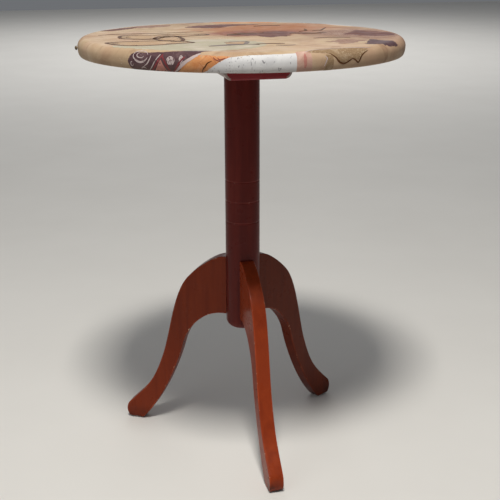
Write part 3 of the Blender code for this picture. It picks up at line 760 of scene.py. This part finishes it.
def make_pivots(iron):
    for name, side in (("left", -1), ("right", 1)):
        low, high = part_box("pivot_pin_" + name)
        length = high.x - low.x
        head_radius = (high.z - low.z) / 2
        start = Vector((low.x if side > 0 else high.x, PIVOT.y, PIVOT.z))
        head = length - 0.002
        profile = [(PIN_RADIUS - 0.0006, 0), (PIN_RADIUS, 0.0006), (PIN_RADIUS, head), (head_radius, head)]
        profile += dome(head_radius, head, 0.002, 12, 6)
        pin = new_object("headed_pin_" + name, turned(profile, 48, start, X * side))
        settle(pin, "base", ["pivot_pin_" + name], iron)
        low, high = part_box("pivot_washer_" + name)
        radius = (high.z - low.z) / 2
        width = high.x - low.x
        hole = PIN_RADIUS + GAP
        edge = 0.0003
        loop = ((hole, 0), (radius - edge, 0), (radius, edge), (radius, width - edge), (radius - edge, width),
                (hole, width))
        washer = new_object("round_washer_" + name, turned(loop, 48, (low.x, PIVOT.y, PIVOT.z), X, ring=True))
        settle(washer, "base", ["pivot_washer_" + name], iron)


def make_knob(brass):
    low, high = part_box("catch_knob")
    bolt_low, bolt_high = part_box("catch_bolt")
    centre = (low + high) / 2
    radius = (high.x - low.x) / 2
    spigot = 0.0015
    length = bolt_low.z - low.z
    profile = [(spigot, bolt_low.z - high.z), (spigot, GAP)]
    profile += [(0.0024, GAP), (0.0026, 0.0008), (0.0029, 0.0013)]
    profile += [(radius - 0.0002, 0.0017), (radius, 0.0022), (radius, 0.0028)]
    profile += dome(radius, 0.0028, length - 0.0028, 14, 5)
    knob = new_object("turned_knob", turned(profile, 40, (centre.x, centre.y, bolt_low.z), -Z))
    settle(knob, "bolt", ["catch_knob"], brass)


def make_stud(iron):
    low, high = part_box("rim_stud")
    outer = Vector((low.x, (low.y + high.y) / 2, (low.z + high.z) / 2))
    out = Vector((math.cos(math.radians(175)), math.sin(math.radians(175)), 0))
    seat = out * TOP_RADIUS + Z * outer.z
    radius = 0.0036
    proud = 0.0041
    profile = [(0.0012, -0.010), (0.0012, GAP), (0.0030, GAP), (0.0034, 0.0007), (radius, 0.0011)]
    profile += dome(radius, 0.0011, proud - 0.0011, 10, 8)
    stud = new_object("domed_stud", turned(profile, 40, seat, out))
    settle(stud, "top", ["rim_stud"], iron)


def finish_cad_nodes(brass, dowel_wood):
    """Softens the edges of the small CAD pieces that stay, and gives them their material."""
    for node, obj in frame["nodes"].items():
        kept = {"catch_plate": brass, "catch_bolt": brass, "keeper_angle": brass, "tenon_wedge": dowel_wood}
        material = dowel_wood if node.startswith("leg_dowel") else kept.get(node)
        if material is None:
            continue
        obj.data.materials.clear()
        obj.data.materials.append(material)
        weld = obj.modifiers.new("weld", "WELD")
        weld.merge_threshold = WELD_REACH
        arris = obj.modifiers.new("arris", "BEVEL")
        arris.width = SMALL_ARRIS
        arris.segments = 2
        arris.limit_method = "ANGLE"
        arris.angle_limit = math.radians(40)


# ---------------------------------------------------------------- top and its paper

def rim_section(s):
    """Radius, height and outward normal of the cover at this distance along its surface."""
    if s <= FLAT_RADIUS:
        return s, TOP_Z, 0.0, 1.0
    if s <= RIM_MIDDLE:
        a = (s - FLAT_RADIUS) / RIM_ROUND
        return (FLAT_RADIUS + RIM_ROUND * math.sin(a), TOP_Z - RIM_ROUND + RIM_ROUND * math.cos(a),
                math.sin(a), math.cos(a))
    b = min(1.0, (s - RIM_MIDDLE) / (RIM_END - RIM_MIDDLE)) * math.pi / 2
    out = math.cos(b) / RIM_LOWER_ROUND
    up = -math.sin(b) / RIM_ROUND
    size = math.hypot(out, up)
    return (TOP_RADIUS - RIM_LOWER_ROUND * (1 - math.cos(b)), TOP_Z - RIM_ROUND - RIM_ROUND * math.sin(b),
            out / size, up / size)


def on_top(u, v, depth):
    """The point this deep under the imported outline, at (u, v) measured along the surface from the centre."""
    s = math.hypot(u, v)
    radius, height, out, up = rim_section(s)
    x, y = (u / s, v / s) if s > 1e-9 else (1.0, 0.0)
    across = radius - depth * out
    return Vector((across * x, across * y, height - depth * up))


def rim(degrees, s):
    """(u, v) at this angle round the top and this many millimetres along the surface."""
    a = math.radians(degrees)
    return s * MM * math.cos(a), s * MM * math.sin(a)


def rim_points(*places):
    """(u, v) points from pairs of angle and distance."""
    return [rim(degrees, s) for degrees, s in places]


def lower_edge(start, end):
    """Points along the cover's lower edge, from one angle to another."""
    parts = max(1, round(abs(end - start) / 1.5))
    return [rim(start + (end - start) * k / parts, LOWER_EDGE) for k in range(parts + 1)]


def plan(*points):
    """(u, v) points given in millimetres."""
    return [(x * MM, y * MM) for x, y in points]


def make_cover(parchment):
    sides = 288
    stations = [0.02 * k for k in range(1, 13)] + [0.250, FLAT_RADIUS]
    stations += [FLAT_RADIUS + (RIM_MIDDLE - FLAT_RADIUS) * k / 14 for k in range(1, 15)]
    stations += [RIM_MIDDLE + (RIM_END - RIM_MIDDLE) * k / 10 for k in range(1, 11)]
    outer = [on_top(s, 0, COVER_INSET) for s in stations]
    inner = [on_top(s, 0, COVER_INSET + COVER_THICKNESS) for s in stations]
    profile = [(p.x, p.z) for p in inner] + [(p.x, max(p.z, UNDERSIDE)) for p in reversed(outer)]
    cover = new_object("papered_cover", turned(profile, sides))
    settle(cover, "top", ["printed_cover"], parchment, 40)


def make_board(wood):
    sides = 192
    inset = COVER_INSET + COVER_THICKNESS + 0.0002
    stations = [RIM_END - (RIM_END - RIM_MIDDLE) * k / 6 for k in range(7)]
    stations += [RIM_MIDDLE - (RIM_MIDDLE - FLAT_RADIUS) * k / 10 for k in range(1, 11)]
    points = [on_top(s, 0, inset) for s in stations]
    profile = [(p.x, max(p.z, UNDERSIDE)) for p in points]
    board = new_object("round_board", turned(profile, sides))
    settle(board, "top", ["tabletop"], wood, 40)


def curve_part(points, steps):
    """Points from the second of four points towards the third, on the smooth curve through all four."""
    a, b, c, d = (Vector(point) for point in points)
    part = []
    for j in range(steps):
        t = j / steps
        part.append(tuple(0.5 * (2 * b + (c - a) * t + (2 * a - 5 * b + 4 * c - d) * t ** 2
                                 + (3 * b - a - 3 * c + d) * t ** 3)))
    return part


def closed_curve(points, steps):
    """A smooth closed curve through the points."""
    count = len(points)
    curve = []
    for k in range(count):
        curve += curve_part([points[(k + j - 1) % count] for j in range(4)], steps)
    return curve


def open_curve(points, steps):
    """A smooth curve through the points that stops at its ends."""
    ends = [points[0], *points, points[-1]]
    curve = []
    for k in range(1, len(ends) - 2):
        curve += curve_part(ends[k - 1:k + 3], steps)
    return curve + [tuple(points[-1])]


def divided(outline, longest):
    """The outline with its long sides divided."""
    result = []
    for k, point in enumerate(outline):
        a = Vector(point)
        b = Vector(outline[(k + 1) % len(outline)])
        parts = max(1, math.ceil((b - a).length / longest))
        result += [tuple(a.lerp(b, j / parts)) for j in range(parts)]
    return result


def torn_edge(outline, size, seed):
    """The outline moved about a little, as hand-torn paper is."""
    def shift(u, v, height):
        coarse = noise.noise(Vector((u * TEAR_COARSE, v * TEAR_COARSE, height)))
        return coarse + 0.5 * noise.noise(Vector((u * TEAR_FINE, v * TEAR_FINE, height)))

    return [(u + size * shift(u, v, seed), v + size * shift(u, v, seed + 9)) for u, v in outline]


def inside(points, outline):
    """Which of the points lie inside the outline."""
    edges = np.array(outline)
    x, y = points[:, 0][:, None], points[:, 1][:, None]
    x0, y0 = edges[:, 0][None], edges[:, 1][None]
    x1, y1 = np.roll(edges[:, 0], -1)[None], np.roll(edges[:, 1], -1)[None]
    crosses = (y0 > y) != (y1 > y)
    safe = np.where(y1 == y0, 1.0, y1 - y0)
    return (crosses & (x < (x1 - x0) * (y - y0) / safe + x0)).sum(axis=1) % 2 == 1


def inner_points(outline, spacing):
    """Grid points inside the outline that keep clear of its edge."""
    edges = np.array(outline)
    low, high = edges.min(axis=0), edges.max(axis=0)
    grid = np.meshgrid(np.arange(low[0], high[0], spacing), np.arange(low[1], high[1], spacing))
    points = np.stack([axis.ravel() for axis in grid], axis=1)
    points = points[inside(points, outline)]
    if not len(points):
        return []
    nearest = np.sqrt(((points[:, None] - edges[None]) ** 2).sum(axis=2)).min(axis=1)
    return [tuple(p) for p in points[nearest > 0.45 * spacing]]


class Sheets:
    """Cut-outs that share one material, as thin closed solids on the cover."""

    torn = 0

    def __init__(self, name, material, layer):
        self.name = name
        self.material = material
        self.depth = COVER_INSET - LAYER * layer
        self.bm = bmesh.new()

    def add(self, outline, spacing=0.004):
        edge = divided(outline, 0.004)
        points = [Vector(p) for p in edge + inner_points(edge, spacing)]
        loop = [list(range(len(edge)))]
        flat, _, faces, *_ = delaunay_2d_cdt(points, [], loop, 1, 1e-7)
        upper, lower = self.raised(flat)
        sides = {}
        for face in faces:
            self.bm.faces.new([upper[k] for k in face])
            self.bm.faces.new([lower[k] for k in reversed(face)])
            for a, b in zip(face, face[1:] + face[:1]):
                if sides.pop((b, a), None) is None:
                    sides[(a, b)] = True
        for a, b in sides:
            self.bm.faces.new((upper[b], upper[a], lower[a], lower[b]))

    def cut_out(self, points, tear=0.002, smooth=True):
        """Adds one piece of paper whose edge is a little torn."""
        Sheets.torn += 1
        outline = closed_curve(points, 6) if smooth else points
        outline = torn_edge(divided(outline, 0.002), tear, 1.7 * Sheets.torn)
        farthest = max(math.hypot(u, v) for u, v in outline)
        self.add(outline, 0.003 if farthest > FLAT_RADIUS else 0.012)

    @staticmethod
    def held(point):
        """The point kept on the cover, so that none runs past its lower edge."""
        s = point.length
        limit = RIM_END - GAP
        return tuple(point * (limit / s)) if s > limit else tuple(point)

    def strip(self, points, width, steps=8, taper=True, closed=False):
        """A line of this width along a smooth curve through the points."""
        line = closed_curve(points, steps) if closed else open_curve(points, steps)
        if closed:
            line.append(line[0])
        left, right = [], []
        last = len(line) - 1
        for k, point in enumerate(line):
            ahead = Vector(line[min(k + 1, last)]) - Vector(line[max(k - 1, 0)])
            if ahead.length < 1e-9:
                continue
            side = Vector((-ahead.y, ahead.x)).normalized()
            share = math.sin(math.pi * (k + 0.6) / (last + 1.2)) ** 0.5 if taper else 1.0
            half = side * width / 2 * share
            left.append(Vector(point) + half)
            right.append(Vector(point) - half)
        for k in range(len(left) - 1):
            self.quad(left[k], right[k], right[k + 1], left[k + 1])

    def raised(self, points):
        """The points on the sheet's printed face, and those below them just inside the cover."""
        depths = (self.depth, COVER_INSET + LAYER)
        return [[self.bm.verts.new(on_top(*self.held(p), depth)) for p in points] for depth in depths]

    def quad(self, *corners):
        upper, lower = self.raised(corners)
        self.bm.faces.new(upper)
        self.bm.faces.new(lower[::-1])
        for k in range(4):
            after = (k + 1) % 4
            self.bm.faces.new((upper[after], upper[k], lower[k], lower[after]))

    def lay(self):
        bmesh.ops.remove_doubles(self.bm, verts=self.bm.verts, dist=1e-7)
        bmesh.ops.recalc_face_normals(self.bm, faces=self.bm.faces)
        sheet = new_object(self.name, self.bm, self.material)
        settle(sheet, "top", degrees=60)


def spiral(centre, start, end, turns, phase=0.0, points=26):
    """Points along a spiral, radii in metres."""
    path = []
    for k in range(points):
        t = k / (points - 1)
        a = phase + math.tau * turns * t
        radius = start + (end - start) * t
        path.append((centre[0] + radius * math.cos(a), centre[1] + radius * math.sin(a)))
    return path


def loop_round(degrees, s, across, along, start, end, points=12):
    """Part of an oval about a place on the rim: sizes in millimetres, angles in degrees."""
    centre = Vector(rim(degrees, s))
    outwards = centre.normalized()
    sideways = Vector((-outwards.y, outwards.x))
    path = []
    for k in range(points + 1):
        a = math.radians(start + (end - start) * k / points)
        path.append(tuple(centre + (sideways * across * math.cos(a) + outwards * along * math.sin(a)) * MM))
    return path


def middle(shape):
    """The mean of a shape's points."""
    return Vector((sum(u for u, v in shape) / len(shape), sum(v for u, v in shape) / len(shape)))


def cuttings(name, stops, scale, layer, **looks):
    """Sheets of paper in one printed colour, laid on this layer."""
    return Sheets("paper_" + name, paper("print_" + name, stops, scale, **looks), layer)


def ink(name, stops, scale, layer):
    """Sheets of one ink, laid on this layer."""
    return Sheets("ink_" + name, paper("ink_" + name, stops, scale), layer)


# Many of the points here and in the two functions below were computed by another program from measured
# positions, then partly altered. They aren't drawn from a few chosen dimensions.
CARTOUCHES = (
    plan((-206, 0), (-200, 28), (-184, 38), (-150, 28), (-119, 36), (-86, 32), (-58, 26), (-60, 8),
         (-98, -3), (-134, -18), (-160, -39), (-200, -22)),
    plan((-236, -80), (-222, -70), (-192, -66), (-149, -68), (-120, -84), (-104, -108), (-137, -119),
         (-166, -131), (-204, -130), (-224, -112)),
    plan((-154, -34), (-142, -2), (-126, 14), (-113, 2), (-109, -44), (-119, -84), (-133, -76),
         (-148, -58)),
)


def make_papers():
    """Cut-outs laid over the parchment, from the lowest layer up."""
    ochre = cuttings(
        "ochre", ((0.58, 0.30, 0.135), (0.50, 0.20, 0.075), (0.64, 0.42, 0.26)), 20.0, 2, pattern=veined)
    ochre.cut_out([
        *rim_points((240, 273), (246.4, 272), (253, 273.5)), *lower_edge(244.3, 235), rim(237, 285)],
        0.0007, False)
    ochre.cut_out([rim(62, 240), rim(88, 236), *lower_edge(93, 58)], 0.003, False)
    ochre.lay()

    pale = cuttings(
        "pale", ((0.42, 0.385, 0.275), (0.36, 0.315, 0.22), (0.49, 0.42, 0.34)), 12.0, 3,
        streaks=(1.0, 1.8, 1.0))
    pale.cut_out(plan(
        (-232, -122), (-182, -126), (-114, -108), (-106, -66), (-46, -68), (-16, -98), (2, -150),
        (-28, -204), (-98, -232), (-128, -224), (-168, -200), (-208, -162)), 0.005)
    pale.lay()

    rosy = cuttings(
        "rosy", ((0.31, 0.180, 0.125), (0.25, 0.130, 0.095), (0.38, 0.24, 0.175)), 18.0, 3,
        streaks=(1.0, 1.8, 1.0), pattern=engraved)
    rosy.cut_out(plan(
        (150, 30), (176, 36), (214, 40), (244, 10), (258, -30), (252, -76), (228, -108), (196, -112),
        (176, -84), (150, -60), (134, -20)), 0.006)
    rosy.cut_out(plan(
        (96, -152), (120, -138), (133, -122), (163, -134), (172, -148), (150, -162), (137, -177),
        (112, -187), (118, -164)), 0.006)
    rosy.cut_out(plan((-150, 172), (-96, 190), (-88, 222), (-124, 222), (-160, 196)), 0.004)
    rosy.cut_out([rim(93, 250), rim(101, 252), *lower_edge(102, 93)], 0.001, False)
    rosy.lay()

    blush = cuttings("blush", ((0.54, 0.345, 0.275), (0.46, 0.275, 0.215), (0.60, 0.42, 0.34)), 26.0, 3)
    blush.cut_out([rim(273, 266), rim(278, 265), *lower_edge(278, 272.9)], 0.0006, False)
    blush.lay()

    grey = cuttings(
        "grey_white", ((0.56, 0.55, 0.55), (0.64, 0.63, 0.62), (0.46, 0.45, 0.46)), 11.0, 4,
        pattern=flecked)
    grey.cut_out([
        *rim_points((252.4, 275.5), (256.6, 272.5), (262, 271), (268, 270.5), (273.1, 269.5)),
        *lower_edge(273, 243.6)], 0.0004, False)
    grey.cut_out([rim(18, 262), rim(38, 258), *lower_edge(40, 20)], 0.001, False)
    grey.cut_out([rim(128, 262), rim(150, 266), *lower_edge(152, 124)], 0.001, False)
    grey.lay()

    plum = cuttings(
        "plum", ((0.072, 0.038, 0.043), (0.094, 0.052, 0.056), (0.050, 0.024, 0.030)), 30.0, 6,
        pattern=clouded)
    plum.cut_out([
        *rim_points((218.4, 286), (219.7, 275), (221, 272), (226.3, 271), (231, 268), (236.4, 263.5),
        (241, 254), (246.6, 250), (245.6, 256), (243.4, 267), (240.6, 275), (239, 283)),
        *lower_edge(236, 220.6), rim(219.2, 292)], 0.0010, False)
    plum.cut_out(plan(
        (182, -134), (191, -154), (212, -170), (200, -188), (172, -203), (149, -198), (160, -172)), 0.005)
    plum.cut_out([rim(40, 262), rim(56, 268), *lower_edge(58, 40)], 0.002, False)
    plum.lay()

    umber = cuttings("umber", ((0.150, 0.055, 0.040), (0.105, 0.036, 0.030), (0.21, 0.090, 0.062)), 24.0, 6)
    umber.cut_out(plan(
        (168, -40), (183, -20), (208, 21), (226, 10), (247, -15), (255, -48), (240, -78), (216, -86),
        (194, -72), (178, -54)), 0.007)
    umber.cut_out(plan(
        (-67, 168), (-16, 200), (34, 204), (76, 186), (26, 170), (-6, 140), (-32, 140)), 0.006)
    umber.cut_out(plan((-224, 130), (-192, 166), (-160, 190), (-156, 176), (-196, 134)), 0.003)
    umber.cut_out(plan(
        (5, 31), (30, 14), (50, 39), (87, 34), (108, -12), (85, -5), (67, -42), (30, -51), (19, -24),
        (-30, -14)), 0.008)
    umber.lay()

    leaf = cuttings(
        "engraved", ((0.36, 0.25, 0.15), (0.28, 0.185, 0.105), (0.43, 0.32, 0.21)), 30.0, 7,
        pattern=engraved)
    leaf.cut_out(rim_points(
        (276.7, 268), (280.2, 262), (287, 260), (296.6, 266), (300.8, 270), (299.7, 275), (297.4, 278),
        (295.5, 286), (292.9, 282.5), (289.6, 287), (287.2, 284), (284.9, 274), (281.5, 271.5)), 0.0008,
        False)
    leaf.cut_out([
        *rim_points((282.9, 274), (285.4, 276.5), (285.6, 284)), *lower_edge(285.2, 282.2),
        rim(283.2, 282)], 0.0008, False)
    for shape in CARTOUCHES:
        leaf.cut_out(shape, 0.0015)
    leaf.lay()

    parchment = cuttings(
        "cartouche", ((0.44, 0.30, 0.18), (0.38, 0.245, 0.14), (0.49, 0.35, 0.23)), 22.0, 8)
    for shape in CARTOUCHES:
        centre = middle(shape)
        parchment.cut_out([tuple(centre.lerp(Vector(p), 0.78)) for p in shape], 0.003)
    parchment.cut_out(plan((-57, -121), (-30, -113), (-18, -116), (-32, -153), (-59, -144)), 0.0005, False)
    parchment.lay()

    salmon = cuttings("salmon", ((0.46, 0.21, 0.165), (0.40, 0.165, 0.135), (0.52, 0.29, 0.23)), 60.0, 8)
    salmon.cut_out(rim_points((230.9, 281), (228.4, 297), (233.2, 297)), 0.0003, False)
    salmon.cut_out(loop_round(275.8, 281, 2.4, 10, 0, 345, 20), 0.001)
    salmon.lay()

    roundel = cuttings(
        "roundel", ((0.50, 0.42, 0.40), (0.44, 0.36, 0.35), (0.55, 0.48, 0.45)), 90.0, 8, pattern=speckled)
    roundel.cut_out(loop_round(234.3, 281, 7.0, 5.8, 0, 345, 20), 0.0008)
    roundel.cut_out(loop_round(237.6, 279, 3.0, 6.5, 0, 345, 20), 0.0008)
    roundel.lay()
    make_lines()


def make_lines():
    """Printed lines: outlines on the top, scrolls and bands on the dark rim patch."""
    brown = ink("brown", ((0.105, 0.045, 0.018), (0.080, 0.033, 0.015), (0.15, 0.072, 0.033)), 80.0, 9)
    for shape in CARTOUCHES:
        centre = middle(shape)
        brown.strip(shape, 0.0062, closed=True, taper=False)
        for k in range(0, len(shape), 2):
            start = centre.lerp(Vector(shape[k]), 0.80)
            brown.strip(spiral(start, 0.001, 0.006, 1.3, k), 0.0016, 2)
    brown.strip(rim_points(
        (284.3, 272.5), (286.2, 279.5), (287.4, 285), (289.6, 288), (292.8, 283.5)), 0.0022)
    brown.strip(rim_points(
        (292.6, 283), (294, 285), (295.5, 288), (296.8, 281), (298, 277.5), (300.4, 273.5)), 0.0020)
    brown.strip(rim_points((247.3, 280.5), (246, 283.5), (245.3, 287), (244.6, 290), (244.2, 296)), 0.0017)
    brown.strip(plan((-24, 0), (-8, 8), (12, 16), (44, 19)), 0.0200)
    brown.strip(plan((84, -2), (104, 2), (124, -8), (150, -2)), 0.0150)
    brown.strip(plan((-20, -156), (4, -153), (30, -158)), 0.0080)
    brown.strip(plan((-236, 52), (-190, 64), (-120, 62), (-52, 72)), 0.0060)
    brown.strip(plan((110, 27), (128, 46), (134, 75)), 0.0050)
    brown.strip(plan((136, 33), (150, 46), (154, 42), (180, 91)), 0.0050)
    brown.strip(plan((60, 150), (84, 160), (112, 154)), 0.0100)
    brown.strip(plan((98, -92), (130, -84), (160, -96)), 0.0070)
    brown.lay()

    grey = ink("grey", ((0.145, 0.110, 0.092), (0.185, 0.145, 0.125), (0.115, 0.085, 0.072)), 60.0, 10)
    for a, b in (((-57, -121), (-30, -113)), ((-30, -113), (-18, -116)), ((-18, -116), (-32, -153)),
                 ((-60, -144), (-32, -153)), ((-32, -153), (-12, -165))):
        grey.strip(plan(a, ((a[0] + b[0]) / 2, (a[1] + b[1]) / 2), b), 0.0080, 4)
    grey.strip(plan((-92, -168), (-76, -163), (-56, -158), (-32, -156)), 0.0160)
    grey.strip(plan((10, -178), (26, -186), (40, -182)), 0.0060)
    grey.lay()

    cream = ink("cream", ((0.50, 0.41, 0.39), (0.43, 0.34, 0.33), (0.55, 0.48, 0.45)), 90.0, 10)
    cream.strip(loop_round(223.4, 277, 13.5, 8.6, -185, -15, 16)[::-1], 0.0016, 3)
    cream.strip(loop_round(223.4, 277, 13.5, 8.6, 10, 200, 16), 0.0022, 3)
    cream.strip(loop_round(223.4, 276, 6.8, 4.0, 20, 250, 12), 0.0014, 3)
    cream.strip(loop_round(220.1, 288, 2.6, 2.4, 0, 290, 10), 0.0011, 3)
    cream.strip(rim_points((227.4, 275.5), (227.0, 281), (226.2, 286), (224.8, 289.5)), 0.0016)
    cream.strip(loop_round(224.6, 293.5, 4.5, 2.6, 150, 350, 10), 0.0012, 3)
    cream.strip(rim_points((230.6, 272.8), (229.0, 283), (226.6, 295.5)), 0.0013, taper=False)
    cream.strip(rim_points(
        (243.6, 268), (242.2, 273), (240.2, 279.5), (237.8, 287), (235.4, 296.5)), 0.0046)
    cream.strip(rim_points((276.2, 267.6), (280, 261), (287, 258.6), (296.5, 264.8), (303, 269)), 0.0016)
    cream.strip(rim_points((282.4, 276.5), (283.2, 280), (282.8, 284.5), (282.2, 289.5)), 0.0014)
    cream.lay()

    maroon = ink("maroon", ((0.16, 0.030, 0.035), (0.20, 0.045, 0.048), (0.12, 0.022, 0.028)), 70.0, 11)
    maroon.strip(rim_points((231.5, 272.6), (229.8, 284), (227.3, 297)), 0.0026, taper=False)
    maroon.strip(rim_points((231.3, 276), (232.4, 284), (234.2, 297)), 0.0028, taper=False)
    maroon.strip(rim_points((238.8, 275.5), (236.6, 287), (234.9, 297)), 0.0024, taper=False)
    maroon.strip(rim_points((249.0, 276), (249.8, 278.8), (251.4, 276)), 0.0014)
    maroon.strip(rim_points((247.6, 275), (248.4, 278.5), (250, 281.5)), 0.0012)
    maroon.lay()


# ---------------------------------------------------------------- light, floor, camera

def make_stage():
    bm = bmesh.new()
    bmesh.ops.create_grid(bm, x_segments=1, y_segments=1, size=12.0)
    floor = new_object("studio_floor", bm, floor_material())
    floor.location.z = -0.0002
    world = bpy.context.scene.world or bpy.data.worlds.new("studio")
    bpy.context.scene.world = world
    world.use_nodes = True
    background = world.node_tree.nodes["Background"]
    background.inputs["Color"].default_value = (0.90, 0.94, 1.0, 1.0)
    background.inputs["Strength"].default_value = 0.17
    bpy.context.scene.view_settings.view_transform = "Standard"


def area_light(name, size, power, colour=(1, 1, 1)):
    """A square light, which shines straight down until it is turned."""
    data = bpy.data.lights.new(name, "AREA")
    data.size = size
    data.energy = power
    data.color = colour
    light = bpy.data.objects.new(name, data)
    bpy.context.scene.collection.objects.link(light)
    return light


def aim(light, azimuth, elevation, distance):
    """Turns a light to the table from this direction, angles in degrees."""
    a = math.radians(azimuth)
    e = math.radians(elevation)
    back = Vector((math.sin(a) * math.cos(e), -math.cos(a) * math.cos(e), math.sin(e)))
    light.location = Vector((0, 0, 0.4)) + back * distance
    light.rotation_mode = "QUATERNION"
    light.rotation_quaternion = (-back).to_track_quat("-Z", "Y")


CAMERA_DISTANCE = 1.642
CAMERA_HEIGHT = 0.8976
CAMERA_AZIMUTH = -13.75
CAMERA_PITCH = 18.05
CAMERA_YAW = 0.460
CAMERA_ROLL = 0.151
LENS = 68.48


def make_camera():
    """Looks down at the table, turned a little so that it stands left of the middle."""
    yaw = math.radians(CAMERA_YAW)
    pitch = math.radians(CAMERA_PITCH)
    roll = math.radians(CAMERA_ROLL)
    forward = Vector((math.sin(yaw) * math.cos(pitch), math.cos(yaw) * math.cos(pitch), -math.sin(pitch)))
    right = Vector((math.cos(yaw), -math.sin(yaw), 0))
    up = right.cross(forward)
    camera_x = math.cos(roll) * right - math.sin(roll) * up
    camera_y = math.sin(roll) * right + math.cos(roll) * up
    basis = Matrix((camera_x, camera_y, -forward)).transposed().to_4x4()
    swing = Matrix.Rotation(math.radians(CAMERA_AZIMUTH), 4, "Z")
    place = Matrix.Translation((0, -CAMERA_DISTANCE, CAMERA_HEIGHT))
    data = bpy.data.cameras.new("camera")
    data.lens = LENS
    data.sensor_width = 36.0
    camera = bpy.data.objects.new("camera", data)
    camera.matrix_world = swing @ place @ basis
    bpy.context.scene.collection.objects.link(camera)
    bpy.context.scene.camera = camera


def main():
    make_camera()
    make_stage()
    aim(area_light("key", 0.5, 90, (1.0, 0.98, 0.94)), -17, 66, 3.0)
    aim(area_light("fill_left", 2.0, 9, (0.96, 0.97, 1.0)), -60, 25, 3.0)
    area_light("far_floor", 5.0, 150).location = (1.6, 6.5, 3.0)

    iron = old_metal("dark_iron_worn", (0.20, 0.19, 0.18), (0.055, 0.050, 0.046), 0.42)
    brass = old_metal("old_brass_worn", (0.62, 0.44, 0.17), (0.20, 0.13, 0.055), 0.34)
    dowel_wood = plain_wood("dowel_beech", (0.50, 0.35, 0.21), (0.38, 0.24, 0.13), "Z")
    make_column()
    make_legs()
    make_pads()
    make_block()
    make_battens()
    make_pivots(iron)
    make_knob(brass)
    make_stud(old_metal("stud_bronze", (0.34, 0.26, 0.17), (0.13, 0.095, 0.06), 0.5))
    for node in frame["nodes"]:
        if node.startswith("batten_screw"):
            make_screw(node, "top", iron, "z", 0.0028, 0.0021)
        elif node.startswith("catch_screw"):
            make_screw(node, "top", brass, "z", 0.0013, 0.0012)
        elif node.startswith("keeper_screw"):
            make_screw(node, "base", brass, "y", 0.0013, 0.0012)
    finish_cad_nodes(brass, dowel_wood)

    stops = ((0.36, 0.245, 0.150), (0.46, 0.335, 0.213), (0.53, 0.41, 0.285))
    parchment = paper("print_parchment", stops, 9.0, pattern=aged)
    make_cover(parchment)
    underside = plain_wood("board_underside", (0.30, 0.19, 0.11), (0.22, 0.13, 0.075), "X", 0.62, 13.0, 14.0)
    make_board(underside)
    make_papers()


main()
